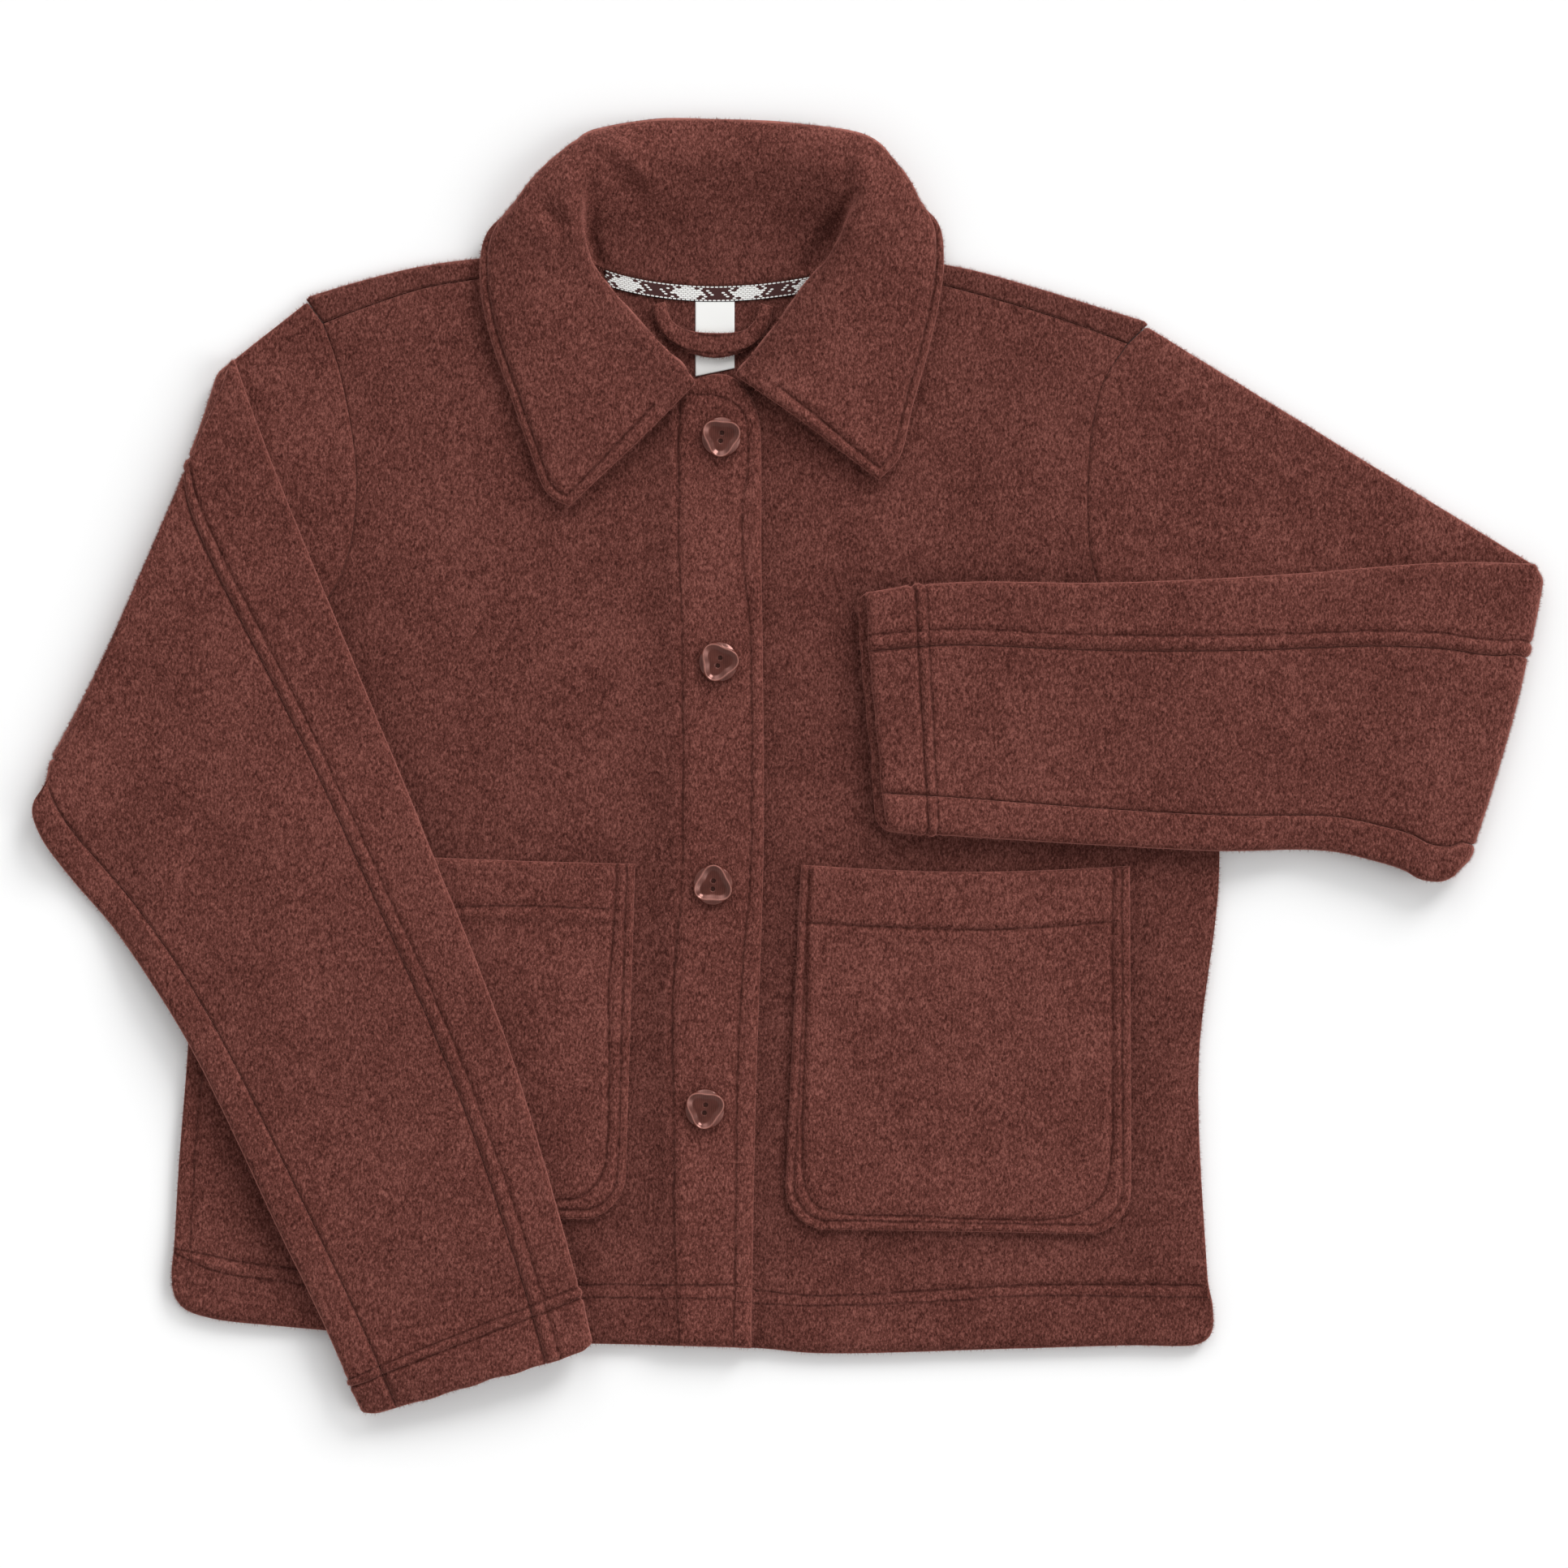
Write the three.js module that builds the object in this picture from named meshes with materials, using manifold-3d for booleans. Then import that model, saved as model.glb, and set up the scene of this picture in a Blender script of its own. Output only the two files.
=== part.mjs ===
// A short boxy wool fleece jacket, buttoned at the front, lying flat on its back on a surface.
// Both sleeves are folded at the elbow and lie over the fronts.
// Millimetres, +Z up, +Y towards the collar.
// "Right" and "left" are the wearer's: the right front is on the side of -X.

import * as THREE from 'three';
import { mergeVertices } from 'three/addons/utils/BufferGeometryUtils.js';
import Module from 'manifold-3d';

const wasm = await Module();
wasm.setup();

// Driving dimensions
const CLOTH = 2.6;
const SEAM_GAP = 0.3;
const NECK_GAP = 0.8;
const ARMHOLE_GAP = 0.5;
const LAYER_GAP = 0.6;
const HIDDEN_GAP = 1.8;
const COLLAR_CLOTH = 4.4;
const COLLAR_COLUMNS = 11;
const ARM_STEPS = 9;
const ELBOW_SHARE = 0.3;
const STAND_LEAN = 0.12;
const TURN_UP = 0.9;
const HEM_DEPTH = 29;
const HEM_SLACK = 2;
const BAND_WIDTH = 44;
const BAND_RAISE = 0.8;
const BAND_TOP_X = -24;
const PUFF = 1.2;
const SHELL_GAP = 1.2;
const CUFF_MOUTH = 3.2;
const CUFF_DEPTH = 33;
const DROOP_START = 22;
const DROOP = 40;
const BUTTON_DIAMETER = 22;
const BUTTON_THICKNESS = 3.8;
const TAPE_THICKNESS = 0.9;
const LABEL_THICKNESS = 0.5;
const LOOP_THICKNESS = 2.2;

// Heights that follow from the cloth
const BACK_MID = CLOTH / 2;
const FRONT_MID = CLOTH + LAYER_GAP + CLOTH / 2;
const OVERLAP_RISE = CLOTH + SEAM_GAP;
const SLEEVE_HEIGHT = 2 * CLOTH + SHELL_GAP;
const FOREARM_BASE = SLEEVE_HEIGHT + 1.2;
const FLOOR_CLEARANCE = 0.4;

// The stretch of each front that stands off the back
const PUFF_RIGHT = { from: -305, to: -82 };
const PUFF_LEFT = { from: 5, to: 218 };
const BAND_RAMP = { from: -81, to: -62 };
const PUFF_BOTTOM = -280;
const PUFF_TOP = 205;

// Outlines in plan, each row a named corner or bend, from the photograph's own proportions
const HEM = [
  { at: 'right side', x: -331, y: -286 },
  { at: 'right corner', x: -303, y: -298.5 },
  { at: 'right pocket', x: -182, y: -308 },
  { at: 'right band', x: -19, y: -312.6 },
  { at: 'left band', x: 15, y: -315.4 },
  { at: 'left pocket', x: 120, y: -313 },
  { at: 'left corner', x: 214, y: -311 },
  { at: 'left side', x: 227.5, y: -304 },
];
const SIDE_RIGHT = [
  { at: 'hem', x: -331, y: -286 },
  { at: 'hem top', x: -334, y: -262 },
  { at: 'pocket', x: -326, y: -150 },
  { at: 'waist', x: -321.4, y: -57 },
  { at: 'underarm', x: -318.3, y: 36.5 },
];
const SIDE_LEFT = [
  { at: 'hem', x: 227.5, y: -304 },
  { at: 'hem top', x: 226, y: -272 },
  { at: 'pocket', x: 221.2, y: -158 },
  { at: 'waist', x: 232, y: -60 },
  { at: 'underarm', x: 230.3, y: 33.5 },
];
const ARMHOLE_RIGHT = [
  { at: 'underarm', x: -318.3, y: 36.5 },
  { at: 'scoop', x: -277, y: 67 },
  { at: 'turn', x: -245.3, y: 101.4 },
  { at: 'chest', x: -234.7, y: 150 },
  { at: 'yoke', x: -242.2, y: 208.8 },
  { at: 'shoulder seam', x: -252.5, y: 242 },
];
const SHOULDER_TIP_RIGHT = { x: -261, y: 253.6 };
const ARMHOLE_LEFT = [
  { at: 'underarm', x: 230.3, y: 33.5 },
  { at: 'scoop', x: 194, y: 66 },
  { at: 'turn', x: 166.5, y: 102.3 },
  { at: 'chest', x: 161, y: 152 },
  { at: 'yoke', x: 168.5, y: 207 },
  { at: 'shoulder seam', x: 182.5, y: 231 },
];
const SHOULDER_TIP_LEFT = { x: 192.4, y: 240.4 };
// Where the back folds over the shoulder, and the seam in front of that fold
const SHOULDER_RIGHT = [
  { at: 'armhole', foldX: SHOULDER_TIP_RIGHT.x, foldY: SHOULDER_TIP_RIGHT.y, seamX: -252.5, seamY: 242 },
  { at: 'blade', foldX: -235, foldY: 261.5, seamX: -229, seamY: 251 },
  { at: 'middle', foldX: -202, foldY: 269.7, seamX: -199, seamY: 260.8 },
  { at: 'collar edge', foldX: -170, foldY: 274.3, seamX: -169, seamY: 266 },
  { at: 'neck', foldX: -124, foldY: 277, seamX: -122.5, seamY: 272.5 },
];
const SHOULDER_LEFT = [
  { at: 'neck', foldX: 43.5, foldY: 276, seamX: 42.5, seamY: 271.6 },
  { at: 'collar edge', foldX: 90, foldY: 270, seamX: 87, seamY: 261.5 },
  { at: 'middle', foldX: 133, foldY: 258.6, seamX: 128, seamY: 250 },
  { at: 'blade', foldX: 168, foldY: 247.8, seamX: 160, seamY: 239.5 },
  { at: 'armhole', foldX: SHOULDER_TIP_LEFT.x, foldY: SHOULDER_TIP_LEFT.y, seamX: 182.5, seamY: 231 },
];
const FRONT_EDGE_RIGHT = [
  { at: 'hem', x: -21, y: -312.6 },
  { at: 'lowest button', x: -18.7, y: -183 },
  { at: 'third button', x: -14.3, y: -40 },
  { at: 'second button', x: -14.7, y: 53 },
  { at: 'chest', x: -15.6, y: 120 },
];
const FRONT_EDGE_LEFT = [
  { at: 'hem', x: -57, y: -312.4 },
  { at: 'waist', x: -55, y: -40 },
  { at: 'chest', x: -55, y: 120 },
];
// The front's top corner, before the neckline starts at the collar's end
const CORNER_RIGHT = [
  { at: 'chest', x: -15.6, y: 120 },
  { at: 'below the corner', x: -16, y: 181 },
  { at: 'corner', x: -23.5, y: 200 },
  { at: 'corner top', x: -39, y: 208.2 },
];
const CORNER_LEFT = [
  { at: 'chest', x: -55, y: 120 },
  { at: 'below the corner', x: -54, y: 165 },
  { at: 'corner', x: -46.5, y: 187 },
  { at: 'corner top', x: -40, y: 199 },
];

// The collar's sections from the right front end round the neck to the left front end.
// neck: where it is sewn on, roll: the top of its fold,
// fall: the middle of what turns down, edge: its rim.
const COLLAR = [
  { neck: [-57, 204, 8.8], roll: [-51.5, 208.5, 12.6], fall: [-80, 180, 15], edge: [-117, 146, 9.9] },
  { neck: [-64, 208.2, 7.6], roll: [-59, 218, 12.4], fall: [-92, 187, 15], edge: [-129.5, 153, 9.7] },
  { neck: [-79, 220, 5.8], roll: [-72.5, 231, 11.8], fall: [-105, 205, 14.6], edge: [-140, 175, 9.7] },
  { neck: [-97, 240, 5.8], roll: [-88, 247.5, 11.8], fall: [-120, 228, 14.6], edge: [-152, 205, 9.7] },
  { neck: [-112, 260, 5.8], roll: [-101, 263.5, 13], fall: [-134, 250, 15.4], edge: [-162.5, 236, 9.7] },
  { neck: [-120, 273, 6.4], roll: [-109, 278, 16], fall: [-142, 270, 16.4], edge: [-167.5, 263, 9.8] },
  { neck: [-114, 276, 5], roll: [-113, 291, 20], fall: [-146, 290, 17.5], edge: [-165, 287, 6.2] },
  { neck: [-106, 273.2, 3.6], roll: [-115, 305, 22.5], fall: [-143, 309, 17], edge: [-153, 299, 3.2] },
  { neck: [-96, 269.6, 2.8], roll: [-110, 320, 22], fall: [-130, 326, 15.5], edge: [-136, 311, 2.6] },
  { neck: [-84, 266.4, 2.6], roll: [-95, 331, 18.5], fall: [-107, 342.5, 11.5], edge: [-108, 320, 2.5] },
  { neck: [-67, 263.6, 2.6], roll: [-72, 334, 14.5], fall: [-76, 350.2, 8.5], edge: [-76, 325, 2.5] },
  { neck: [-44, 262, 2.6], roll: [-42, 333, 13], fall: [-42, 351, 8], edge: [-42, 327, 2.5] },
  { neck: [-20, 262.9, 2.6], roll: [-14, 332, 14], fall: [-12, 349.2, 8.5], edge: [-12, 325, 2.5] },
  { neck: [2, 265.6, 2.6], roll: [13, 329, 17.5], fall: [18, 346.6, 11], edge: [17, 322, 2.5] },
  { neck: [17, 268.6, 2.8], roll: [33, 320, 20.5], fall: [46, 338, 14.5], edge: [43, 315, 2.6] },
  { neck: [27, 271.6, 3.6], roll: [36, 306, 21.5], fall: [62, 318, 16.5], edge: [66, 305, 3.2] },
  { neck: [34, 274.4, 5], roll: [32.5, 292.5, 19.5], fall: [65, 299, 17], edge: [80, 294, 6] },
  { neck: [40, 272.6, 6.4], roll: [24.5, 280, 16], fall: [58, 281, 16.2], edge: [83, 274, 9] },
  { neck: [25, 258.4, 5.8], roll: [11.5, 265, 13], fall: [48, 259, 15], edge: [80, 250, 9.8] },
  { neck: [9.5, 239, 5.8], roll: [-2, 246, 12], fall: [35, 235, 14.6], edge: [74, 224, 9.7] },
  { neck: [-4, 222, 5.8], roll: [-15.5, 228.5, 12], fall: [21, 213, 14.6], edge: [66, 196, 9.7] },
  { neck: [-13, 212.6, 5.8], roll: [-24.5, 218, 12.6], fall: [10, 198, 14.6], edge: [57, 171.5, 9.7] },
  { neck: [-20, 208, 6.4], roll: [-29, 213, 13], fall: [5, 189.5, 14.6], edge: [44.5, 159.8, 9.9] },
];
const RIGHT_NECK_POINT = 5;
const LEFT_NECK_POINT = 17;

// Each sleeve is folded along a line across the elbow. Rows follow its two edges from elbow to cuff.
// The tube's wall towards the body's front is the one that lies on top in the upper arm.
const SLEEVE_RIGHT = {
  armhole: ARMHOLE_RIGHT,
  foldTop: { x: -300.5, y: 222 },
  foldUnder: { x: -402, y: -11 },
  foldBow: 8,
  topEdge: [
    { at: 'fold', x: -300.5, y: 222 },
    { at: 'bend', x: -289, y: 189 },
    { at: 'upper', x: -260, y: 116.4 },
    { at: 'middle', x: -203, y: -20.5 },
    { at: 'pocket', x: -151, y: -152 },
    { at: 'hem', x: -119.5, y: -259 },
    { at: 'cuff', x: -106.5, y: -312 },
  ],
  underEdge: [
    { at: 'fold', x: -402, y: -11 },
    { at: 'elbow', x: -400, y: -40 },
    { at: 'below the elbow', x: -361, y: -90.5 },
    { at: 'waist', x: -325, y: -146 },
    { at: 'pocket', x: -276, y: -246.5 },
    { at: 'hem', x: -245, y: -313 },
    { at: 'cuff', x: -229, y: -349.8 },
  ],
  backSeam: { armhole: 0.29, elbow: 0.27, cuff: 0.24 },
  underSeam: { armhole: 0.93, elbow: 0.94, cuff: 0.91 },
  cuffSlip: 0,
};
const SLEEVE_LEFT = {
  armhole: ARMHOLE_LEFT,
  foldTop: { x: 402, y: 111.5 },
  foldUnder: { x: 357, y: -57 },
  foldBow: -4,
  topEdge: [
    { at: 'fold', x: 402, y: 111.5 },
    { at: 'elbow', x: 360, y: 112.4 },
    { at: 'upper', x: 247, y: 104.5 },
    { at: 'armhole', x: 168.7, y: 101.4 },
    { at: 'chest', x: 85, y: 101.4 },
    { at: 'cuff', x: 37.8, y: 95 },
  ],
  underEdge: [
    { at: 'fold', x: 357, y: -57 },
    { at: 'elbow', x: 334, y: -54 },
    { at: 'bend', x: 289, y: -43 },
    { at: 'armhole', x: 230, y: -43 },
    { at: 'chest', x: 120, y: -37 },
    { at: 'cuff', x: 49, y: -32 },
  ],
  backSeam: { armhole: 0.29, elbow: 0.29, cuff: 0.24 },
  underSeam: { armhole: 0.915, elbow: 0.93, cuff: 0.91 },
  cuffSlip: 7,
};

// Patch pockets: corners in plan, with rounded lower corners
const POCKET_RIGHT = {
  topLeft: { x: -267, y: -43 },
  topRight: { x: -83.8, y: -50.5 },
  bottomLeft: { x: -264, y: -241 },
  bottomRight: { x: -89.5, y: -242.5 },
  corner: 19,
  sag: 1,
};
const POCKET_LEFT = {
  topLeft: { x: 6, y: -51 },
  topRight: { x: 183.7, y: -51.5 },
  bottomLeft: { x: -3.7, y: -248 },
  bottomRight: { x: 184.6, y: -250.5 },
  corner: 19,
  sag: 3.5,
};
const POCKET_HEM = 31;
const POCKET_PUFF = 0.8;

// Where each button lies, which way a corner of its dish points and which way its holes line up, in degrees.
const BUTTONS = [
  { x: -37.2, y: 180.2, corner: 25, holes: 81 },
  { x: -38.5, y: 58.7, corner: 7, holes: 72 },
  { x: -41.6, y: -61.8, corner: 88, holes: 86 },
  { x: -46, y: -182.8, corner: 24, holes: 81 },
];
const DISH_SIDES = 0.84;
const DISH_CORNERS = 0.12;
const HOLE_DIAMETER = 2.2;
const HOLE_SPACING = 4.4;

const TAPE = { width: 8.6, below: 0.5, from: 0.1, to: 0.9 };
const LABEL = { left: -51.3, right: -30.1, top: 251.6, bottom: 213.5 };
const LOOP = [
  { at: 'right end', x: -70, y: 248.6, width: 5, rise: 0 },
  { at: 'right leg', x: -67, y: 241.8, width: 7, rise: 0.4 },
  { at: 'right bend', x: -60, y: 234.6, width: 10, rise: 1.3 },
  { at: 'over the label', x: -41, y: 230, width: 13.5, rise: 1.6 },
  { at: 'left bend', x: -22.5, y: 234, width: 10, rise: 1.3 },
  { at: 'left leg', x: -16, y: 241, width: 7, rise: 0.4 },
  { at: 'left end', x: -14, y: 247.5, width: 5, rise: 0 },
];

const MATERIALS = {
  fleece: { color: 0x623832, roughness: 0.95, metalness: 0 },
  tape: { color: 0x6b6060, roughness: 0.85, metalness: 0 },
  label: { color: 0xf0f0ee, roughness: 0.8, metalness: 0 },
  button: { color: 0x5e352e, roughness: 0.3, metalness: 0 },
};

// Small helpers
const lerp = (a, b, t) => a + (b - a) * t;
const clamp01 = (t) => Math.min(1, Math.max(0, t));
const smooth = (t) => clamp01(t) ** 2 * (3 - 2 * clamp01(t));
const range = (count) => Array.from({ length: count + 1 }, (_, i) => i / count);

/** A smooth path in plan through the rows of an outline table. */
function planPath(rows) {
  const points = rows.map((row) => new THREE.Vector3(row.x, row.y, 0));
  return new THREE.CatmullRomCurve3(points, false, 'centripetal');
}

/** One path: the first curve up to the split, and the second, given as a function, after it. */
function joinedPaths(first, second, split) {
  return (t) => (t <= split ? first.getPointAt(t / split) : second((t - split) / (1 - split)));
}

/** The place at a share of a row of points, straight from each to the next. */
function alongPoints(points, share) {
  const place = clamp01(share) * (points.length - 1);
  const before = Math.min(points.length - 2, Math.floor(place));
  return points[before].clone().lerp(points[before + 1], place - before);
}

/** A patch that fills four boundary curves, blending them across. */
function patch(bottom, top, left, right, u, v) {
  const corner = (a, b, c, d) => lerp(lerp(a, b, u), lerp(c, d, u), v);
  const across = bottom(u).clone().lerp(top(u), v);
  const along = left(v).clone().lerp(right(v), u);
  const bl = left(0);
  const br = right(0);
  const tl = left(1);
  const tr = right(1);
  return new THREE.Vector3(
    across.x + along.x - corner(bl.x, br.x, tl.x, tr.x),
    across.y + along.y - corner(bl.y, br.y, tl.y, tr.y),
    0,
  );
}

/** Unit normal of a grid of points at one of its nodes, from its neighbours in both directions. */
function gridNormal(rows, i, j) {
  const last = rows.length - 1;
  const end = rows[0].length - 1;
  const along = rows[Math.min(last, i + 1)][j].clone().sub(rows[Math.max(0, i - 1)][j]);
  const across = rows[i][Math.min(end, j + 1)].clone().sub(rows[i][Math.max(0, j - 1)]);
  return across.cross(along).normalize();
}

/**
 * A closed piece of cloth from the grid of its middle surface: the right side is moved out by half the
 * wall and what is raised there, the wrong side by half the wall, and every open edge gets a rim.
 * side is 1 or -1, the way to the right side of the cloth; has says which cells are there.
 */
function clothGeometry({ rows, wall, side = 1, raised = () => 0, has = () => true }) {
  const columns = rows[0].length;
  const count = rows.length * columns;
  const positions = new Float32Array(count * 6);
  rows.forEach((row, i) => row.forEach((point, j) => {
    const normal = gridNormal(rows, i, j).multiplyScalar(side);
    const node = i * columns + j;
    point.clone().addScaledVector(normal, wall / 2 + raised(point, i, j)).toArray(positions, node * 3);
    point.clone().addScaledVector(normal, -wall / 2).toArray(positions, (count + node) * 3);
  }));
  const faces = [];
  const quad = (a, b, c, d) => faces.push(a, b, c, a, c, d);
  const there = (i, j) => i >= 0 && j >= 0 && i < rows.length - 1 && j < columns - 1 && has(i, j);
  for (let i = 0; i < rows.length - 1; i += 1) {
    for (let j = 0; j < columns - 1; j += 1) {
      if (there(i, j)) {
        const a = i * columns + j;
        const b = a + 1;
        const c = b + columns;
        const d = a + columns;
        quad(a, b, c, d);
        quad(count + a, count + d, count + c, count + b);
        if (!there(i - 1, j)) quad(b, a, count + a, count + b);
        if (!there(i, j + 1)) quad(c, b, count + b, count + c);
        if (!there(i + 1, j)) quad(d, c, count + c, count + d);
        if (!there(i, j - 1)) quad(a, d, count + d, count + a);
      }
    }
  }
  return outwardGeometry(positions, faces);
}

/** Geometry from points and triangles, with its faces turned outwards and unused points dropped. */
function outwardGeometry(positions, faces) {
  const corner = (k) => new THREE.Vector3().fromArray(positions, faces[k] * 3);
  let volume = 0;
  for (let k = 0; k < faces.length; k += 3) {
    volume += corner(k).dot(corner(k + 1).cross(corner(k + 2)));
  }
  const ordered = faces.slice();
  if (volume < 0) {
    for (let k = 0; k < ordered.length; k += 3) {
      [ordered[k + 1], ordered[k + 2]] = [ordered[k + 2], ordered[k + 1]];
    }
  }
  const geometry = new THREE.BufferGeometry();
  geometry.setAttribute('position', new THREE.BufferAttribute(positions, 3));
  geometry.setIndex(ordered);
  const flat = geometry.toNonIndexed();
  return mergeVertices(flat, 1e-4);
}

/** A closed three.js geometry as a solid that can be cut. */
function toSolid(geometry) {
  const bare = geometry.clone();
  bare.deleteAttribute('normal');
  bare.deleteAttribute('uv');
  const merged = mergeVertices(bare, 1e-4);
  return new wasm.Manifold(new wasm.Mesh({
    numProp: 3,
    vertProperties: new Float32Array(merged.attributes.position.array),
    triVerts: new Uint32Array(merged.index.array),
  }));
}

/** A cut solid as a three.js geometry. */
function fromSolid(solid) {
  const mesh = solid.getMesh();
  const geometry = new THREE.BufferGeometry();
  geometry.setAttribute('position', new THREE.BufferAttribute(new Float32Array(mesh.vertProperties), 3));
  geometry.setIndex(Array.from(mesh.triVerts));
  return geometry;
}

const jacket = new THREE.Group();
jacket.name = 'fleece_jacket';

/** Adds one named piece with its finish to the jacket. */
function addPiece(name, geometry, finish) {
  geometry.computeVertexNormals();
  const material = new THREE.MeshStandardMaterial({ ...MATERIALS[finish], name: finish });
  const mesh = new THREE.Mesh(geometry, material);
  mesh.name = name;
  jacket.add(mesh);
}

// Body panels
const SPLIT = 0.58;
const hemPath = planPath(HEM);
const sideRight = planPath(SIDE_RIGHT);
const sideLeft = planPath(SIDE_LEFT);

/** The armhole's points from the underarm to the shoulder seam and the shoulder's tip. */
function armholePoints(rows, tip) {
  const path = planPath(rows);
  return [...range(ARM_STEPS).map((t) => path.getPointAt(t)), new THREE.Vector3(tip.x, tip.y, 0)];
}
const armholeRight = armholePoints(ARMHOLE_RIGHT, SHOULDER_TIP_RIGHT);
const armholeLeft = armholePoints(ARMHOLE_LEFT, SHOULDER_TIP_LEFT);

/** The hem's height in plan above a given X, between the two sides. */
function hemAt(x) {
  let low = 0;
  let high = 1;
  for (let step = 0; step < 24; step += 1) {
    const middle = (low + high) / 2;
    if (hemPath.getPoint(middle).x < x) low = middle;
    else high = middle;
  }
  return hemPath.getPoint(low).y;
}

/** Rows of a panel, closer together at the top of the turned-up hem, with one for each armhole point. */
function panelRows(lower, armholeSteps) {
  const hemShare = SPLIT * HEM_DEPTH / 350;
  const start = hemShare * 1.25;
  const below = range(lower).map((t) => lerp(start, SPLIT, t));
  const above = range(armholeSteps).map((t) => lerp(SPLIT, 1, t)).slice(1);
  return [0, hemShare, ...below, ...above];
}

/** How far a front stands off its plane: highest in its middle, nothing at its seams and its band. */
function puffAt(x, y) {
  const side = x < 0 ? PUFF_RIGHT : PUFF_LEFT;
  const swell = (t) => Math.sin(Math.PI * clamp01(t));
  const across = swell((x - side.from) / (side.to - side.from));
  const up = swell((y - PUFF_BOTTOM) / (PUFF_TOP - PUFF_BOTTOM));
  return PUFF * across * up;
}

/** Extra cloth of the turned-up hem, raised on the outside. */
function hemRaise(point) {
  return point.y - hemAt(point.x) < HEM_DEPTH + HEM_SLACK ? TURN_UP : 0;
}

/** Height of the right front's middle: its band lies on the band of the left front. */
function rightFrontMid(x) {
  const onBand = smooth((x - BAND_RAMP.from) / (BAND_RAMP.to - BAND_RAMP.from));
  return FRONT_MID + OVERLAP_RISE * onBand;
}

/** A point of the neckline, moved back from the collar's own seam by an inset. */
const neckRow = (row, inset) => {
  const [x, y] = COLLAR[row].neck;
  const [rollX, rollY] = COLLAR[row].roll;
  const length = Math.hypot(rollX - x, rollY - y);
  return { x: x - (rollX - x) * inset / length, y: y - (rollY - y) * inset / length };
};

/** The neckline along a run of the collar table's rows. */
function neckRows(first, last, inset = NECK_GAP) {
  return COLLAR.slice(first, last + 1).map((_, k) => neckRow(first + k, inset));
}

/** Offsets from the front edge that keep the band's stitching in line, then an even spread. */
function frontColumns(rowLength, even) {
  const offsets = [0, BAND_WIDTH / 2, BAND_WIDTH - 1, BAND_WIDTH + 1, 1.5 * BAND_WIDTH];
  const band = offsets.map((offset) => offset / rowLength);
  const start = band.at(-1);
  return [...band, ...range(even).slice(1).map((t) => lerp(start, 1, t))];
}

/** A front's grid, from its front edge to the side seam, rows from the hem up to the shoulder seam. */
function frontGrid({ edge, corner, neck, side, armhole, seam, midHeight, hemFrom, hemTo }) {
  const neckline = [...corner, ...neck].map((row) => new THREE.Vector3(row.x, row.y, 0));
  const left = joinedPaths(planPath(edge), (t) => alongPoints(neckline, t), SPLIT);
  const right = joinedPaths(side, (t) => alongPoints(armhole.slice(0, -1), t), SPLIT);
  const top = (u) => seam.getPointAt(u);
  const bottom = (u) => {
    const x = lerp(hemFrom, hemTo, u);
    return new THREE.Vector3(x, hemAt(x), 0);
  };
  return panelRows(9, ARM_STEPS).map((v) => {
    const rowLength = left(v).distanceTo(right(v));
    return frontColumns(rowLength, 8).map((u) => {
      const point = patch(bottom, top, left, right, u, v);
      point.z = midHeight(point.x) + puffAt(point.x, point.y);
      return point;
    });
  });
}

const seamPath = (rows) => planPath(rows.map((row) => ({ x: row.seamX, y: row.seamY })));
const seamRight = seamPath([...SHOULDER_RIGHT].reverse());
const seamLeft = seamPath(SHOULDER_LEFT);

// The left front's hem is flat where the right front lies on it
const UNCOVERED_X = -9;
const NECK_END_RIGHT = SHOULDER_RIGHT.at(-1);
const NECK_END_LEFT = SHOULDER_LEFT[0];

const frontRightRows = frontGrid({
  edge: FRONT_EDGE_RIGHT,
  corner: CORNER_RIGHT,
  neck: [
    ...neckRows(0, RIGHT_NECK_POINT - 1, HIDDEN_GAP),
    { x: NECK_END_RIGHT.seamX, y: NECK_END_RIGHT.seamY },
  ],
  side: sideRight,
  armhole: armholeRight,
  seam: seamRight,
  midHeight: rightFrontMid,
  hemFrom: FRONT_EDGE_RIGHT[0].x,
  hemTo: HEM[0].x,
});
const frontLeftRows = frontGrid({
  edge: FRONT_EDGE_LEFT,
  corner: CORNER_LEFT,
  neck: [
    ...neckRows(LEFT_NECK_POINT + 1, COLLAR.length - 1, HIDDEN_GAP).reverse(),
    { x: NECK_END_LEFT.seamX, y: NECK_END_LEFT.seamY },
  ],
  side: sideLeft,
  armhole: armholeLeft,
  seam: seamLeft,
  midHeight: () => FRONT_MID,
  hemFrom: FRONT_EDGE_LEFT[0].x,
  hemTo: HEM.at(-1).x,
});

/** The doubled band of the right front, from its edge to its stitching, up to the top corner. */
const bandRaise = (i, j) => (j <= 2 && frontRightRows[i][0].x > BAND_TOP_X ? BAND_RAISE : 0);

addPiece('front_right', clothGeometry({
  rows: frontRightRows,
  wall: CLOTH,
  side: -1,
  raised: (point, i, j) => Math.max(hemRaise(point), bandRaise(i, j)),
}), 'fleece');
addPiece('front_left', clothGeometry({
  rows: frontLeftRows,
  wall: CLOTH,
  raised: (point) => (point.x > UNCOVERED_X ? hemRaise(point) : 0),
}), 'fleece');

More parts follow.
